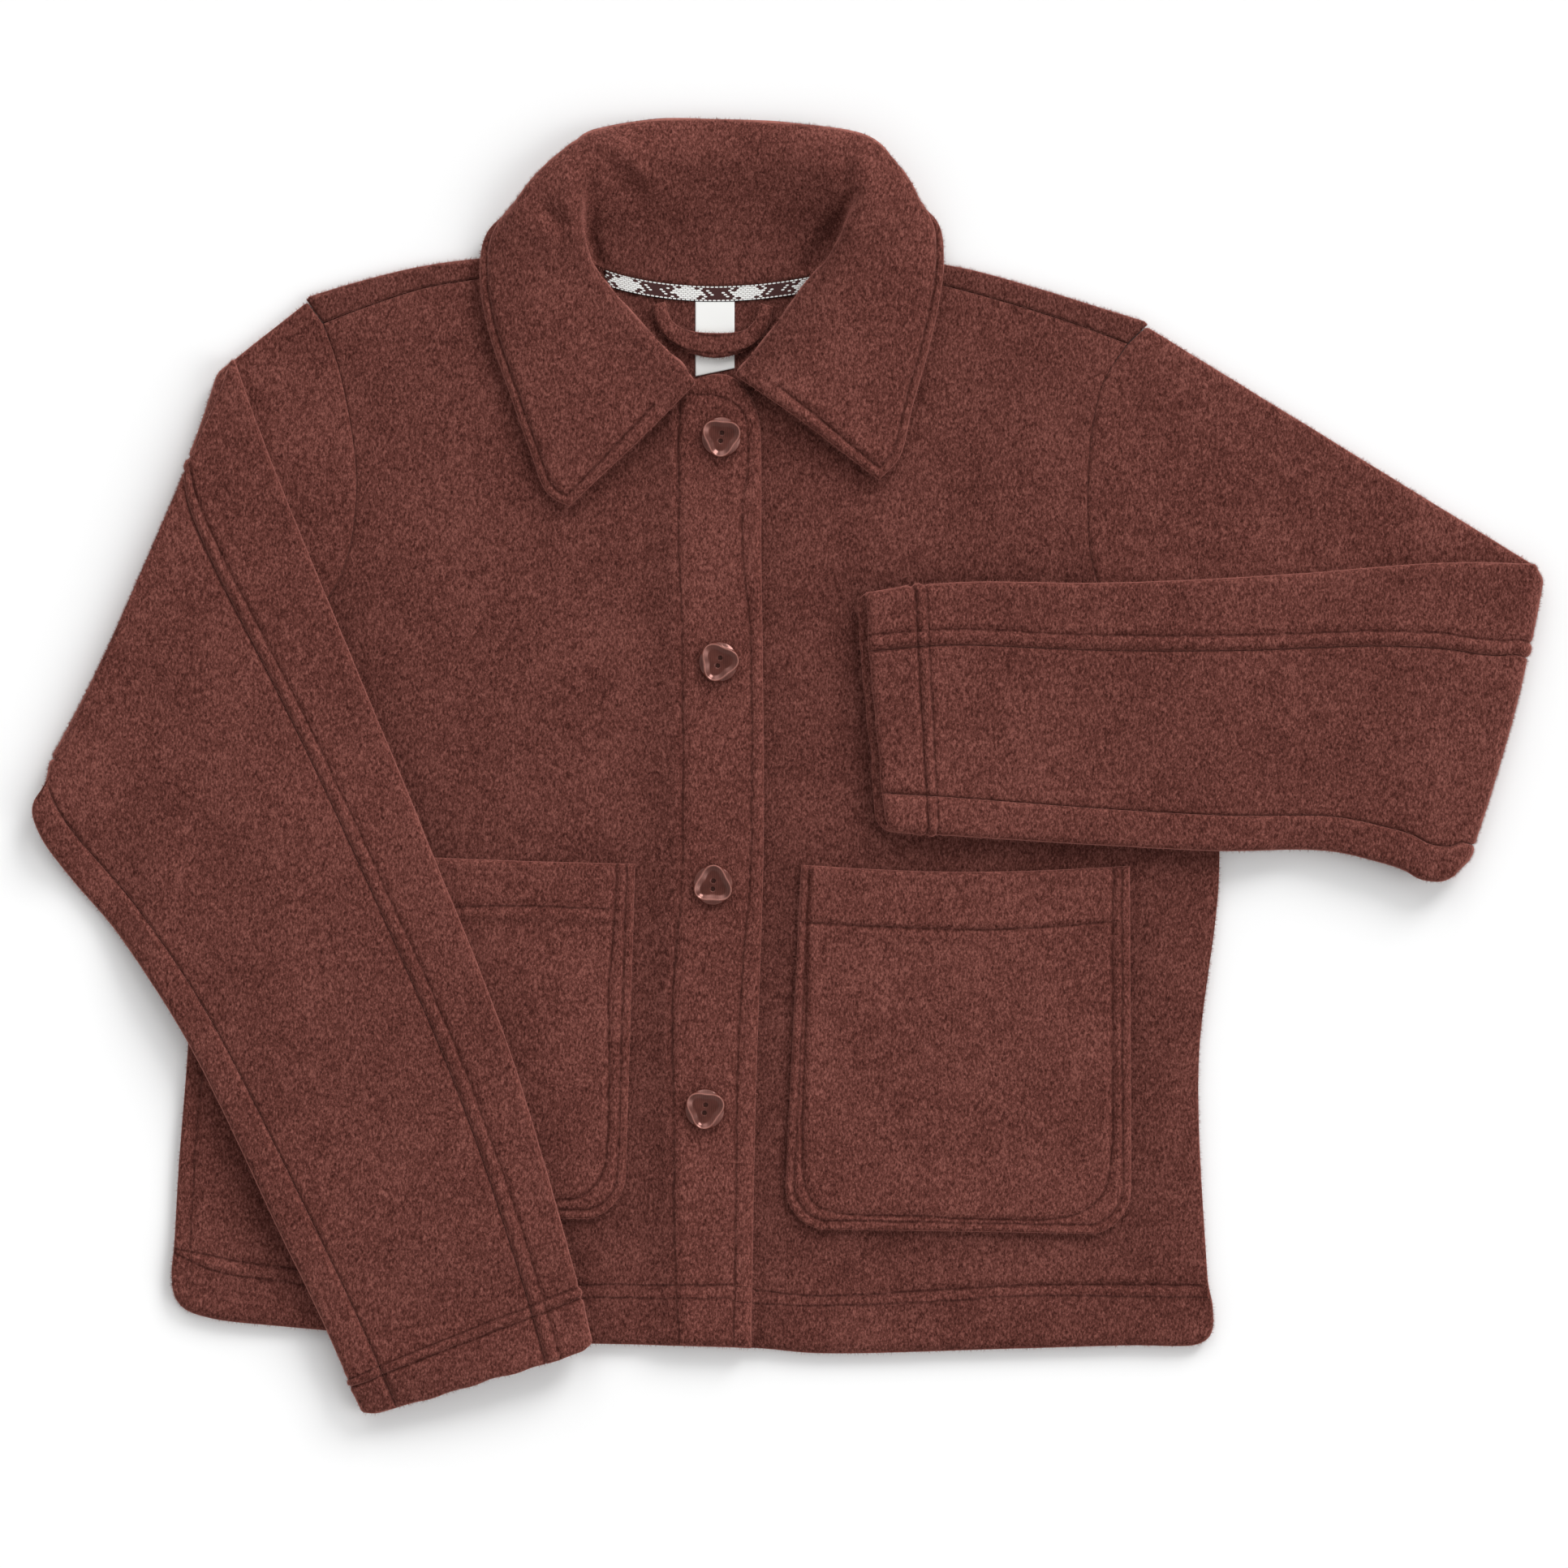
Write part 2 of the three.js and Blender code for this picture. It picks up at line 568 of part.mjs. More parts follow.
/** The back: flat on the surface, then over the shoulder fold and down to the seam in front of it. */
function backGeometry() {
  const shoulderColumns = 6;
  const neckColumns = 10;
  const foldPath = (rows) => planPath(rows.map((row) => ({ x: row.foldX, y: row.foldY })));
  const foldRight = foldPath(SHOULDER_RIGHT);
  const foldLeft = foldPath(SHOULDER_LEFT);
  const seamOfRight = seamPath(SHOULDER_RIGHT);
  const neck = planPath([
    { x: NECK_END_RIGHT.foldX, y: NECK_END_RIGHT.foldY },
    ...neckRows(RIGHT_NECK_POINT + 2, LEFT_NECK_POINT - 2),
    { x: NECK_END_LEFT.foldX, y: NECK_END_LEFT.foldY },
  ]);
  const columns = 2 * shoulderColumns + neckColumns;
  const top = (u) => {
    const place = u * columns;
    if (place <= shoulderColumns) return foldRight.getPointAt(place / shoulderColumns);
    const pastShoulder = place - shoulderColumns;
    if (pastShoulder <= neckColumns) return neck.getPointAt(pastShoulder / neckColumns);
    return foldLeft.getPointAt((pastShoulder - neckColumns) / shoulderColumns);
  };
  const left = joinedPaths(sideRight, (t) => alongPoints(armholeRight, t), SPLIT);
  const right = joinedPaths(sideLeft, (t) => alongPoints(armholeLeft, t), SPLIT);
  const bottom = (u) => {
    const x = lerp(HEM[0].x, HEM.at(-1).x, u);
    return new THREE.Vector3(x, hemAt(x), 0);
  };
  const rows = panelRows(6, ARM_STEPS + 1).map((v) => range(columns).map((u) => {
    const point = patch(bottom, top, left, right, u, v);
    point.z = BACK_MID;
    return point;
  }));
  // The fold is half a turn round the shoulder, and then a flat stretch to the seam
  const flatRows = rows.length;
  const radius = (FRONT_MID - BACK_MID) / 2;
  const turns = 4;
  const isShoulder = (j) => j < shoulderColumns || j >= shoulderColumns + neckColumns;
  const wrap = (step) => range(columns).map((u, j) => {
    const fold = rows[flatRows - 1][j];
    const beyond = fold.clone().sub(rows[flatRows - 2][j]).normalize();
    const angle = Math.PI * Math.min(step, turns) / turns;
    const point = fold.clone().addScaledVector(beyond, radius * Math.sin(angle));
    point.z = BACK_MID + radius * (1 - Math.cos(angle));
    if (step <= turns) return point;
    const seam = j <= shoulderColumns
      ? seamOfRight.getPointAt(j / shoulderColumns)
      : seamLeft.getPointAt(clamp01((j - shoulderColumns - neckColumns) / shoulderColumns));
    const back = fold.clone().setZ(0).sub(seam).normalize();
    return seam.clone().addScaledVector(back, 2 * SEAM_GAP).setZ(FRONT_MID);
  });
  for (let step = 1; step <= turns + 1; step += 1) rows.push(wrap(step));
  return clothGeometry({
    rows,
    wall: CLOTH,
    has: (i, j) => i < flatRows - 1 || isShoulder(j),
  });
}
addPiece('back', backGeometry(), 'fleece');

// What lies on the fronts
/** A pocket's grid on the front's points: rows from its bottom to its mouth, the lower corners round. */
function pocketRows(pocket, frontMid) {
  const height = pocket.topLeft.y - pocket.bottomLeft.y;
  const steps = [0, 0.03, 0.1, 0.25, 0.5, 0.75, 1].map((t) => t * (height - POCKET_HEM - 2) / height);
  const rowsUp = [...steps, 1 - POCKET_HEM / height, 1];
  return rowsUp.map((v) => {
    const rise = Math.min(pocket.corner, v * height + 0.6);
    const inset = pocket.corner - Math.sqrt(pocket.corner ** 2 - (pocket.corner - rise) ** 2);
    const left = { x: lerp(pocket.bottomLeft.x, pocket.topLeft.x, v) + inset };
    const right = { x: lerp(pocket.bottomRight.x, pocket.topRight.x, v) - inset };
    return range(10).map((u) => {
      const x = lerp(left.x, right.x, u);
      const low = lerp(pocket.bottomLeft.y, pocket.bottomRight.y, u);
      const high = lerp(pocket.topLeft.y, pocket.topRight.y, u) - pocket.sag * Math.sin(Math.PI * u);
      const y = lerp(low, high, v);
      const lift = POCKET_PUFF * Math.sin(Math.PI * u) * Math.sin(Math.PI * clamp01(v));
      return new THREE.Vector3(x, y, frontMid(x) + puffAt(x, y) + CLOTH + 1.5 * SEAM_GAP + lift);
    });
  });
}

/** The turned hem at the pocket's mouth, raised on the outside. */
const pocketRaise = (point, i) => (i >= 7 ? TURN_UP : 0);

addPiece('pocket_right', clothGeometry({
  rows: pocketRows(POCKET_RIGHT, rightFrontMid),
  wall: CLOTH,
  raised: pocketRaise,
}), 'fleece');
addPiece('pocket_left', clothGeometry({
  rows: pocketRows(POCKET_LEFT, () => FRONT_MID),
  wall: CLOTH,
  raised: pocketRaise,
}), 'fleece');

// Sleeves
/** How much a pocket lifts a sleeve that lies over it, fading out round the pocket. */
function pocketLift(x, y, pocket) {
  const fade = 24;
  const within = (inside) => smooth((inside + fade) / (fade * 0.6));
  const across = within(x - pocket.bottomLeft.x) * within(pocket.topRight.x - x);
  const up = within(y - pocket.bottomLeft.y) * within(pocket.topLeft.y - y);
  return (CLOTH + POCKET_PUFF + 2 * SEAM_GAP) * across * up;
}

/** Height under a folded forearm: on the body and upper arm, drooping past their edges. */
function layHeight(x, y, sleeve, outward) {
  const side = outward < 0 ? SIDE_RIGHT : SIDE_LEFT;
  const sidePath = outward < 0 ? sideRight : sideLeft;
  const sideX = sidePath.getPoint(clamp01((y - side[0].y) / (side.at(-1).y - side[0].y))).x;
  const held = (inside) => smooth((inside + DROOP_START) / DROOP + 1);
  const onBody = held(outward < 0 ? x - sideX : sideX - x) * held(y - hemAt(x));
  const underarm = sleeve.armhole[0];
  const elbow = sleeve.foldUnder;
  const reach = { x: elbow.x - underarm.x, y: elbow.y - underarm.y };
  const above = (reach.x * (y - underarm.y) - reach.y * (x - underarm.x)) / Math.hypot(reach.x, reach.y);
  const onArm = held(above * outward);
  const support = 1 - (1 - onBody) * (1 - onArm);
  const lift = outward < 0 ? pocketLift(x, y, POCKET_RIGHT) : 0;
  const relief = (TURN_UP + puffAt(x, y) + lift) * onBody;
  return FLOOR_CLEARANCE + (FOREARM_BASE - FLOOR_CLEARANCE) * support + relief;
}

/**
 * Stations along a sleeve: the upper arm from the armhole, half a turn round the elbow's fold, and the
 * forearm down to the cuff. Each has its width, and places a node of the tube from its share across,
 * 0 at the top edge and 1 at the under edge, and its height in the tube.
 */
function sleeveStations(sleeve, outward) {
  const fold = (w) => {
    const x = lerp(sleeve.foldTop.x, sleeve.foldUnder.x, w);
    const y = lerp(sleeve.foldTop.y, sleeve.foldUnder.y, w);
    return new THREE.Vector3(x - sleeve.foldBow * outward * 4 * w * (1 - w), y, 0);
  };
  const along = fold(1).sub(fold(0)).normalize();
  const beyond = new THREE.Vector3(along.y, -along.x, 0);
  if (beyond.x * outward < 0) beyond.negate();
  const seam = armholeSeam(outward < 0 ? armholeRight : armholeLeft, outward);
  const topEdge = planPath(sleeve.topEdge);
  const underEdge = planPath(sleeve.underEdge);
  const axisHeight = (SLEEVE_HEIGHT + FOREARM_BASE) / 2;
  const stations = [];
  range(5).forEach((t) => stations.push({
    share: ELBOW_SHARE * t,
    gap: SHELL_GAP,
    width: lerp(seam[0].distanceTo(seam.at(-1)), fold(0).distanceTo(fold(1)), t),
    place: (w, height) => alongPoints(seam, w).lerp(fold(w), t).setZ(height),
  }));
  range(6).slice(1).forEach((t) => stations.push({
    share: ELBOW_SHARE,
    gap: SHELL_GAP,
    width: fold(0).distanceTo(fold(1)),
    place: (w, height) => {
      const radius = axisHeight - height;
      const point = fold(w).addScaledVector(beyond, radius * Math.sin(Math.PI * t));
      return point.setZ(axisHeight - radius * Math.cos(Math.PI * t));
    },
  }));
  const cuffStart = 1 - CUFF_DEPTH / topEdge.getLength();
  const aboveCuff = range(9).slice(1).map((t) => t * (cuffStart - 0.01));
  const foreSteps = [...aboveCuff, cuffStart, lerp(cuffStart, 1, 0.5), 1];
  foreSteps.forEach((t) => {
    const top = topEdge.getPointAt(t);
    const under = underEdge.getPointAt(t);
    const toCuff = topEdge.getTangentAt(t).add(underEdge.getTangentAt(t)).normalize();
    const mouth = smooth((t - 0.75) / 0.25);
    const gap = lerp(SHELL_GAP, CUFF_MOUTH, mouth);
    const shell = 2 * CLOTH + gap;
    const cuffLift = TURN_UP * smooth((t - cuffStart) / 0.03 + 1);
    stations.push({
      share: lerp(ELBOW_SHARE, 1, t),
      gap,
      cuff: t >= cuffStart,
      width: top.distanceTo(under),
      place: (w, height) => {
        const point = top.clone().lerp(under, w);
        point.addScaledVector(toCuff, sleeve.cuffSlip * mouth * (height / shell - 0.5));
        const base = layHeight(point.x, point.y, sleeve, outward) + cuffLift;
        return point.setZ(base + shell - height);
      },
    });
  });
  return stations;
}

/** The sleeve's own edge of the armhole seam, from the shoulder to the underarm, clear of the body. */
function armholeSeam(points, outward) {
  return points.map((point, k) => {
    const atEnd = k === 0 || k === points.length - 1;
    const gap = atEnd ? HIDDEN_GAP : ARMHOLE_GAP;
    const next = points[Math.min(points.length - 1, k + 1)];
    const before = points[Math.max(0, k - 1)];
    const tangent = next.clone().sub(before).normalize();
    const away = new THREE.Vector3(tangent.y, -tangent.x, 0).multiplyScalar(outward * gap);
    return point.clone().add(away);
  }).reverse();
}

/** A seam's share across the sleeve at a share of its length, from armhole to elbow to cuff. */
function seamShare(seam, share) {
  if (share < ELBOW_SHARE) return lerp(seam.armhole, seam.elbow, share / ELBOW_SHARE);
  return lerp(seam.elbow, seam.cuff, (share - ELBOW_SHARE) / (1 - ELBOW_SHARE));
}

/** The grid of one panel of a sleeve over its stations; across gives its points round the tube. */
function sleeveRows(sleeve, outward, across) {
  const nodes = ARM_STEPS + 1;
  return sleeveStations(sleeve, outward).map((station) => {
    const radius = (CLOTH + station.gap) / 2;
    const centre = CLOTH / 2 + radius;
    const tube = {
      radius,
      centre,
      width: station.width,
      low: centre - radius,
      high: centre + radius,
      backSeam: seamShare(sleeve.backSeam, station.share) * station.width,
      underSeam: seamShare(sleeve.underSeam, station.share) * station.width,
      node: (k) => k / nodes * station.width,
    };
    return across(tube).map(([distance, height]) => {
      const place = clamp01(distance / station.width) * nodes;
      const before = Math.min(nodes - 1, Math.floor(place));
      const near = station.place(before / nodes, height);
      return near.lerp(station.place((before + 1) / nodes, height), place - before);
    });
  });
}

/** Points round the rim of a flattened tube, at its top edge or its under edge. */
function rimPoints(tube, atUnder) {
  return range(4).map((t) => {
    const angle = Math.PI * (atUnder ? 0.5 - t : t - 0.5);
    const out = tube.radius * Math.cos(angle);
    const distance = atUnder ? tube.width - tube.centre + out : tube.centre - out;
    return [distance, tube.centre + tube.radius * Math.sin(angle)];
  });
}

/** The top sleeve: from the back seam over the top edge, across the front, and round the under edge. */
function topSleeve(tube) {
  const back = [[tube.backSeam, tube.low], [tube.node(2), tube.low], [tube.node(1), tube.low]];
  const front = Array.from({ length: ARM_STEPS }, (_, k) => [tube.node(k + 1), tube.high]);
  const end = [[tube.underSeam, tube.low]];
  return [...back, ...rimPoints(tube, false), ...front, ...rimPoints(tube, true), ...end];
}

/** The under sleeve: the strip of the back between the two seams. */
function underSleeve(tube) {
  const between = Array.from({ length: ARM_STEPS - 2 }, (_, k) => [tube.node(k + 3), tube.low]);
  return [[tube.backSeam + SEAM_GAP, tube.low], ...between, [tube.underSeam - SEAM_GAP, tube.low]];
}

const SLEEVES = [
  { name: 'sleeve_right', sleeve: SLEEVE_RIGHT, outward: -1 },
  { name: 'sleeve_left', sleeve: SLEEVE_LEFT, outward: 1 },
];
SLEEVES.forEach(({ name, sleeve, outward }) => {
  const cuffFrom = sleeveStations(sleeve, outward).findIndex((station) => station.cuff);
  const raised = (point, i) => (i >= cuffFrom ? TURN_UP : 0);
  [['top', topSleeve], ['under', underSleeve]].forEach(([panel, across]) => {
    const rows = sleeveRows(sleeve, outward, across);
    addPiece(`${name}_${panel}`, clothGeometry({ rows, wall: CLOTH, side: outward, raised }), 'fleece');
  });
});

// Collar
/** Rows of the collar: a smooth section through each row's four points, the rows joined smoothly. */
function collarRows() {
  const names = ['neck', 'roll', 'fall', 'edge'];
  return COLLAR.map((row) => {
    const [neck, roll, fall, edge] = names.map((name) => new THREE.Vector3(...row[name]));
    const stand = neck.clone().lerp(roll, 0.5);
    stand.z = neck.z + STAND_LEAN * (roll.z - neck.z);
    const lip = fall.clone().lerp(edge, 0.55);
    lip.z = lerp(fall.z, edge.z, 0.45);
    const curve = new THREE.CatmullRomCurve3([neck, stand, roll, fall, lip, edge], false, 'centripetal');
    return range(COLLAR_COLUMNS).map((t) => curve.getPointAt(t));
  });
}
addPiece('collar', clothGeometry({ rows: collarRows(), wall: COLLAR_CLOTH, side: 1 }), 'fleece');

// Neck trimmings
/** Height of the middle of a strip that is sewn flat on the inside of the back. */
const onBack = (wall) => CLOTH + SEAM_GAP + wall / 2;

/** A flat strip between two edges in plan, lying on the back. */
function stripGeometry({ upper, lower, steps, wall }) {
  const rows = [lower, upper].map((edge) => range(steps).map((t) => edge(t).setZ(onBack(wall))));
  return clothGeometry({ rows, wall });
}

const backNeck = planPath(neckRows(RIGHT_NECK_POINT + 1, LEFT_NECK_POINT - 1));
const tapeEdge = (drop) => (t) => {
  const point = backNeck.getPointAt(lerp(TAPE.from, TAPE.to, t));
  return new THREE.Vector3(point.x, point.y - drop, 0);
};
addPiece('neck_tape', stripGeometry({
  upper: tapeEdge(TAPE.below),
  lower: tapeEdge(TAPE.below + TAPE.width),
  steps: 16,
  wall: TAPE_THICKNESS,
}), 'tape');

const labelEdge = (y) => (t) => new THREE.Vector3(lerp(LABEL.left, LABEL.right, t), y, 0);
addPiece('label', stripGeometry({
  upper: labelEdge(LABEL.top),
  lower: labelEdge(LABEL.bottom),
  steps: 2,
  wall: LABEL_THICKNESS,
}), 'label');

/** The hang loop: a strip of cloth whose middle follows the table, wider and higher over the label. */
function loopGeometry() {
  const middle = planPath(LOOP);
  const width = new THREE.CatmullRomCurve3(LOOP.map((row) => new THREE.Vector3(row.width, row.rise, 0)));
  const rows = range(14).map((t) => {
    const centre = middle.getPoint(t);
    const tangent = middle.getTangent(t);
    const size = width.getPoint(t);
    const aside = new THREE.Vector3(-tangent.y, tangent.x, 0).multiplyScalar(size.x / 2);
    const z = onBack(LOOP_THICKNESS) + size.y;
    return [-1, 0, 1].map((k) => centre.clone().addScaledVector(aside, k).setZ(z));
  });
  return clothGeometry({ rows, wall: LOOP_THICKNESS });
}
addPiece('hang_loop', loopGeometry(), 'fleece');

// Buttons
/** Radius of the three-sided dish at an angle from one of its corners: a triangle with bulging sides. */
function dishRadius(angle) {
  return BUTTON_DIAMETER / 2 * (DISH_SIDES + DISH_CORNERS * Math.cos(3 * angle));
}

/** A round button, bevelled up to the rim of a shallow three-sided dish, with two holes through it. */
function buttonGeometry(corner, holes) {
  const around = 36;
  const outer = BUTTON_DIAMETER / 2;
  const top = BUTTON_THICKNESS;
  const rings = [
    { radius: () => outer - 1.6, z: 0 },
    { radius: () => outer, z: 0.9 },
    { radius: () => outer, z: top - 1.5 },
    { radius: dishRadius, z: top },
    { radius: (angle) => dishRadius(angle) - 1.6, z: top - 0.9 },
  ];
  const positions = [];
  rings.forEach((ring) => {
    for (let k = 0; k < around; k += 1) {
      const angle = 2 * Math.PI * k / around;
      const radius = ring.radius(angle - THREE.MathUtils.degToRad(corner));
      positions.push(radius * Math.cos(angle), radius * Math.sin(angle), ring.z);
    }
  });
  const bottomCentre = rings.length * around;
  const topCentre = bottomCentre + 1;
  positions.push(0, 0, 0, 0, 0, top - 1.4);
  const faces = [];
  for (let k = 0; k < around; k += 1) {
    const next = (k + 1) % around;
    faces.push(bottomCentre, next, k);
    for (let r = 0; r < rings.length - 1; r += 1) {
      const a = r * around + k;
      const b = r * around + next;
      faces.push(a, b, b + around, a, b + around, a + around);
    }
    const last = (rings.length - 1) * around;
    faces.push(last + k, last + next, topCentre);
  }
  let solid = toSolid(outwardGeometry(new Float32Array(positions), faces));
  [-1, 1].forEach((end) => {
    const drill = new THREE.CylinderGeometry(HOLE_DIAMETER / 2, HOLE_DIAMETER / 2, 4 * top, 8);
    drill.rotateX(Math.PI / 2);
    drill.translate(end * HOLE_SPACING / 2, 0, 0);
    drill.rotateZ(THREE.MathUtils.degToRad(holes));
    solid = solid.subtract(toSolid(drill));
  });
  return fromSolid(solid);
}

const bandTop = rightFrontMid(BUTTONS[0].x) + CLOTH / 2 + BAND_RAISE;
BUTTONS.forEach(({ x, y, corner, holes }, index) => {
  const geometry = buttonGeometry(corner, holes);
  geometry.translate(x, y, bandTop + SEAM_GAP);
  addPiece(`button_${index + 1}`, geometry, 'button');
});

export default jacket;
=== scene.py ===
"""A short wool fleece jacket, laid flat on its back with both sleeves folded over the front.

Plan positions are in millimetres with +Z up and +Y towards the collar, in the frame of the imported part,
and meshes are written in metres. "Right" and "left" are the wearer's: the right front is towards -X.
"""

import logging
import math
from dataclasses import dataclass, field
from enum import Enum
from typing import Callable, Sequence

import bpy
import numpy as np
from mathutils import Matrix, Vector


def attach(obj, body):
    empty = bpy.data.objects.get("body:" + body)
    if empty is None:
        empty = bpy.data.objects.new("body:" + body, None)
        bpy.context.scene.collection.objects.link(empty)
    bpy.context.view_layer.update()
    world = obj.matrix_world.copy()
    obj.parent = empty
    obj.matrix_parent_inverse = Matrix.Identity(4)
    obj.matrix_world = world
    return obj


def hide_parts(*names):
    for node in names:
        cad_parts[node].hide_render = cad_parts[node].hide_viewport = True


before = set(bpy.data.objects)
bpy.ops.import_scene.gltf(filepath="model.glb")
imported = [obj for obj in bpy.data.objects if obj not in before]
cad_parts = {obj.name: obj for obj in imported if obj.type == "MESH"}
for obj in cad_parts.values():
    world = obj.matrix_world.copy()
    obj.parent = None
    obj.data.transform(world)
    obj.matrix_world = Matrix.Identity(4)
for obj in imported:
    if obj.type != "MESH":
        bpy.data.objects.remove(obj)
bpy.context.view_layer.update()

log = logging.getLogger("jacket")

MM = 0.001
CLOTH = 2.6
SEAM_GAP = 0.3
LAYER_GAP = 0.6
BACK_MID = CLOTH / 2
FRONT_MID = CLOTH + LAYER_GAP + CLOTH / 2
OVERLAP_RISE = CLOTH + SEAM_GAP
SPLIT = 0.58
FAR = 90.0

Array = np.ndarray
Piece = bpy.types.Object
Points = Sequence[tuple[float, ...]]
Colour = tuple[float, float, float, float]


class Slot(Enum):
    """The record's material slots."""

    FLEECE = "fleece"
    TAPE = "neck_tape"
    LABEL = "label"
    BUTTON = "button"


class Side(Enum):
    """The wearer's sides, with the way from the middle outwards along X."""

    RIGHT = -1
    LEFT = 1


def per_side(right: object, left: object) -> object:
    """A dataclass field that holds a value for each side."""
    return field(default_factory=lambda: {Side.RIGHT: right, Side.LEFT: left})


# Curves and fields


def smooth(t: Array) -> Array:
    """A soft step from 0 to 1: 3t^2 - 2t^3, held at its ends."""
    t = np.clip(t, 0.0, 1.0)
    return t * t * (3.0 - 2.0 * t)


def bell(t: Array) -> Array:
    """A soft hump: exp(-t^2)."""
    return np.exp(-np.square(t))


def unit(vectors: Array) -> Array:
    """The same directions, each with a length of 1."""
    return vectors / np.maximum(np.linalg.norm(vectors, axis=-1, keepdims=True), 1e-9)


def pinch(distance: Array, depth: float = 1.0, puff: float = 0.4, width: float = 1.35) -> Array:
    """What sewing does to thick cloth: a groove along the line and a soft swell on either side of it.

    The height is -depth * exp(-(d / width)^2) + puff * exp(-((|d| - 2.9 width) / (2 width))^2).

    Args:
        distance: Distances to the line.
        depth: Depth of the groove.
        puff: Height of the swells.
        width: Half width of the groove.

    Returns:
        Heights in millimetres.
    """
    groove = depth * bell(distance / width)
    return puff * bell((np.abs(distance) - 2.9 * width) / (2.0 * width)) - groove


class Path:
    """A smooth curve through points: a centripetal Catmull-Rom spline."""

    def __init__(self, points: Points | Array, samples: int = 700) -> None:
        """Keeps the points and a dense copy of the curve.

        Args:
            points: The places that the curve passes through.
            samples: How many steps the dense copy has.
        """
        self.points = np.asarray(points, dtype=float)
        self.dense = self.at(np.linspace(0.0, 1.0, samples + 1))
        steps = np.linalg.norm(np.diff(self.dense, axis=0), axis=1)
        self.reach = np.concatenate(([0.0], np.cumsum(steps)))

    @property
    def length(self) -> float:
        """The curve's length in millimetres."""
        return float(self.reach[-1])

    def at(self, t: Array) -> Array:
        """Hermite pieces whose tangents weigh each chord by the square root of its length.

        Args:
            t: Places from 0 to 1, the same step for each piece.

        Returns:
            The points there.
        """
        p = self.points
        count = len(p) - 1
        held = np.vstack([2 * p[0] - p[1], p, 2 * p[-1] - p[-2]])
        place = np.clip(t, 0.0, 1.0) * count
        k = np.minimum(place.astype(int), count - 1)
        w = (place - k)[:, None]
        p0, p1, p2, p3 = (held[k + i] for i in range(4))
        chords = [np.sqrt(np.linalg.norm(b - a, axis=1, keepdims=True) + 1e-9)
                  for a, b in ((p0, p1), (p1, p2), (p2, p3))]
        d0, d1, d2 = chords
        start = ((p1 - p0) / d0 - (p2 - p0) / (d0 + d1) + (p2 - p1) / d1) * d1
        end = ((p2 - p1) / d1 - (p3 - p1) / (d1 + d2) + (p3 - p2) / d2) * d1
        return ((2 * w**3 - 3 * w**2 + 1) * p1 + (w**3 - 2 * w**2 + w) * start
                + (3 * w**2 - 2 * w**3) * p2 + (w**3 - w**2) * end)

    def even(self, share: Array) -> Array:
        """Points at shares of the curve's length.

        Args:
            share: Shares from 0 to 1, of any shape.

        Returns:
            The points, with the coordinates along a last axis.
        """
        reach = np.clip(share, 0.0, 1.0) * self.length
        return np.stack([np.interp(reach, self.reach, axis) for axis in self.dense.T], axis=-1)

    def heading(self, share: Array) -> Array:
        """Unit directions at shares of the curve's length."""
        step = 0.002
        return unit(self.even(share + step) - self.even(share - step))

    def at_x(self, x: Array) -> Array:
        """The curve's Y above each X, for a curve that runs along X."""
        order = np.argsort(self.dense[:, 0])
        return np.interp(x, self.dense[order, 0], self.dense[order, 1])

    def at_y(self, y: Array) -> Array:
        """The curve's X beside each Y, for a curve that runs along Y."""
        order = np.argsort(self.dense[:, 1])
        return np.interp(y, self.dense[order, 1], self.dense[order, 0])


def graded(length: float, marks: Sequence[float] = (), fine: float = 0.4, coarse: float = 3.2,
           slope: float = 0.42) -> Array:
    """Shares along a length, closer together near its ends and near marks.

    The spacing grows from fine by slope times the distance to the nearest mark, up to coarse; its
    inverse is summed along the length and cut into equal steps.

    Args:
        length: The length in millimetres.
        marks: Distances along it where the spacing is fine.
        fine: The smallest spacing.
        coarse: The largest spacing.
        slope: How fast the spacing grows.

    Returns:
        The shares, from 0 to 1.
    """
    s = np.linspace(0.0, length, int(length * 6) + 2)
    stops = np.asarray([0.0, length, *marks])
    near = np.min(np.abs(s[:, None] - stops[None, :]), axis=1)
    per_mm = 1.0 / np.clip(fine + slope * near, fine, coarse)
    count = np.concatenate(([0.0], np.cumsum(0.5 * (per_mm[1:] + per_mm[:-1]) * np.diff(s))))
    steps = int(math.ceil(count[-1]))
    return np.interp(np.linspace(0.0, count[-1], steps + 1), count, s) / length


def line_distance(points: Array, line: Array) -> Array:
    """Signed distance in plan from points to a line of many short pieces.

    Each point's nearest place on every piece is its projection, held at the piece's ends. The sign is
    that of the cross product with the nearest piece, so it is positive on the line's left.

    Args:
        points: Places, with X and Y first on the last axis.
        line: The line's points, one row each.

    Returns:
        Distances in millimetres, in the points' own shape.
    """
    flat = points[..., :2].reshape(-1, 2)
    start, way = line[:-1, :2], np.diff(line[:, :2], axis=0)
    size = np.maximum(np.einsum("ij,ij->i", way, way), 1e-12)
    best = np.full(len(flat), np.inf)
    sign = np.ones(len(flat))
    for a, d, s in zip(start, way, size):
        off = flat - a
        share = np.clip(off @ d / s, 0.0, 1.0)
        gap = off - share[:, None] * d
        far = np.einsum("ij,ij->i", gap, gap)
        nearer = far < best
        best = np.where(nearer, far, best)
        sign = np.where(nearer, np.sign(d[0] * off[:, 1] - d[1] * off[:, 0]), sign)
    return (np.sqrt(best) * np.where(sign == 0, 1.0, sign)).reshape(points.shape[:-1])


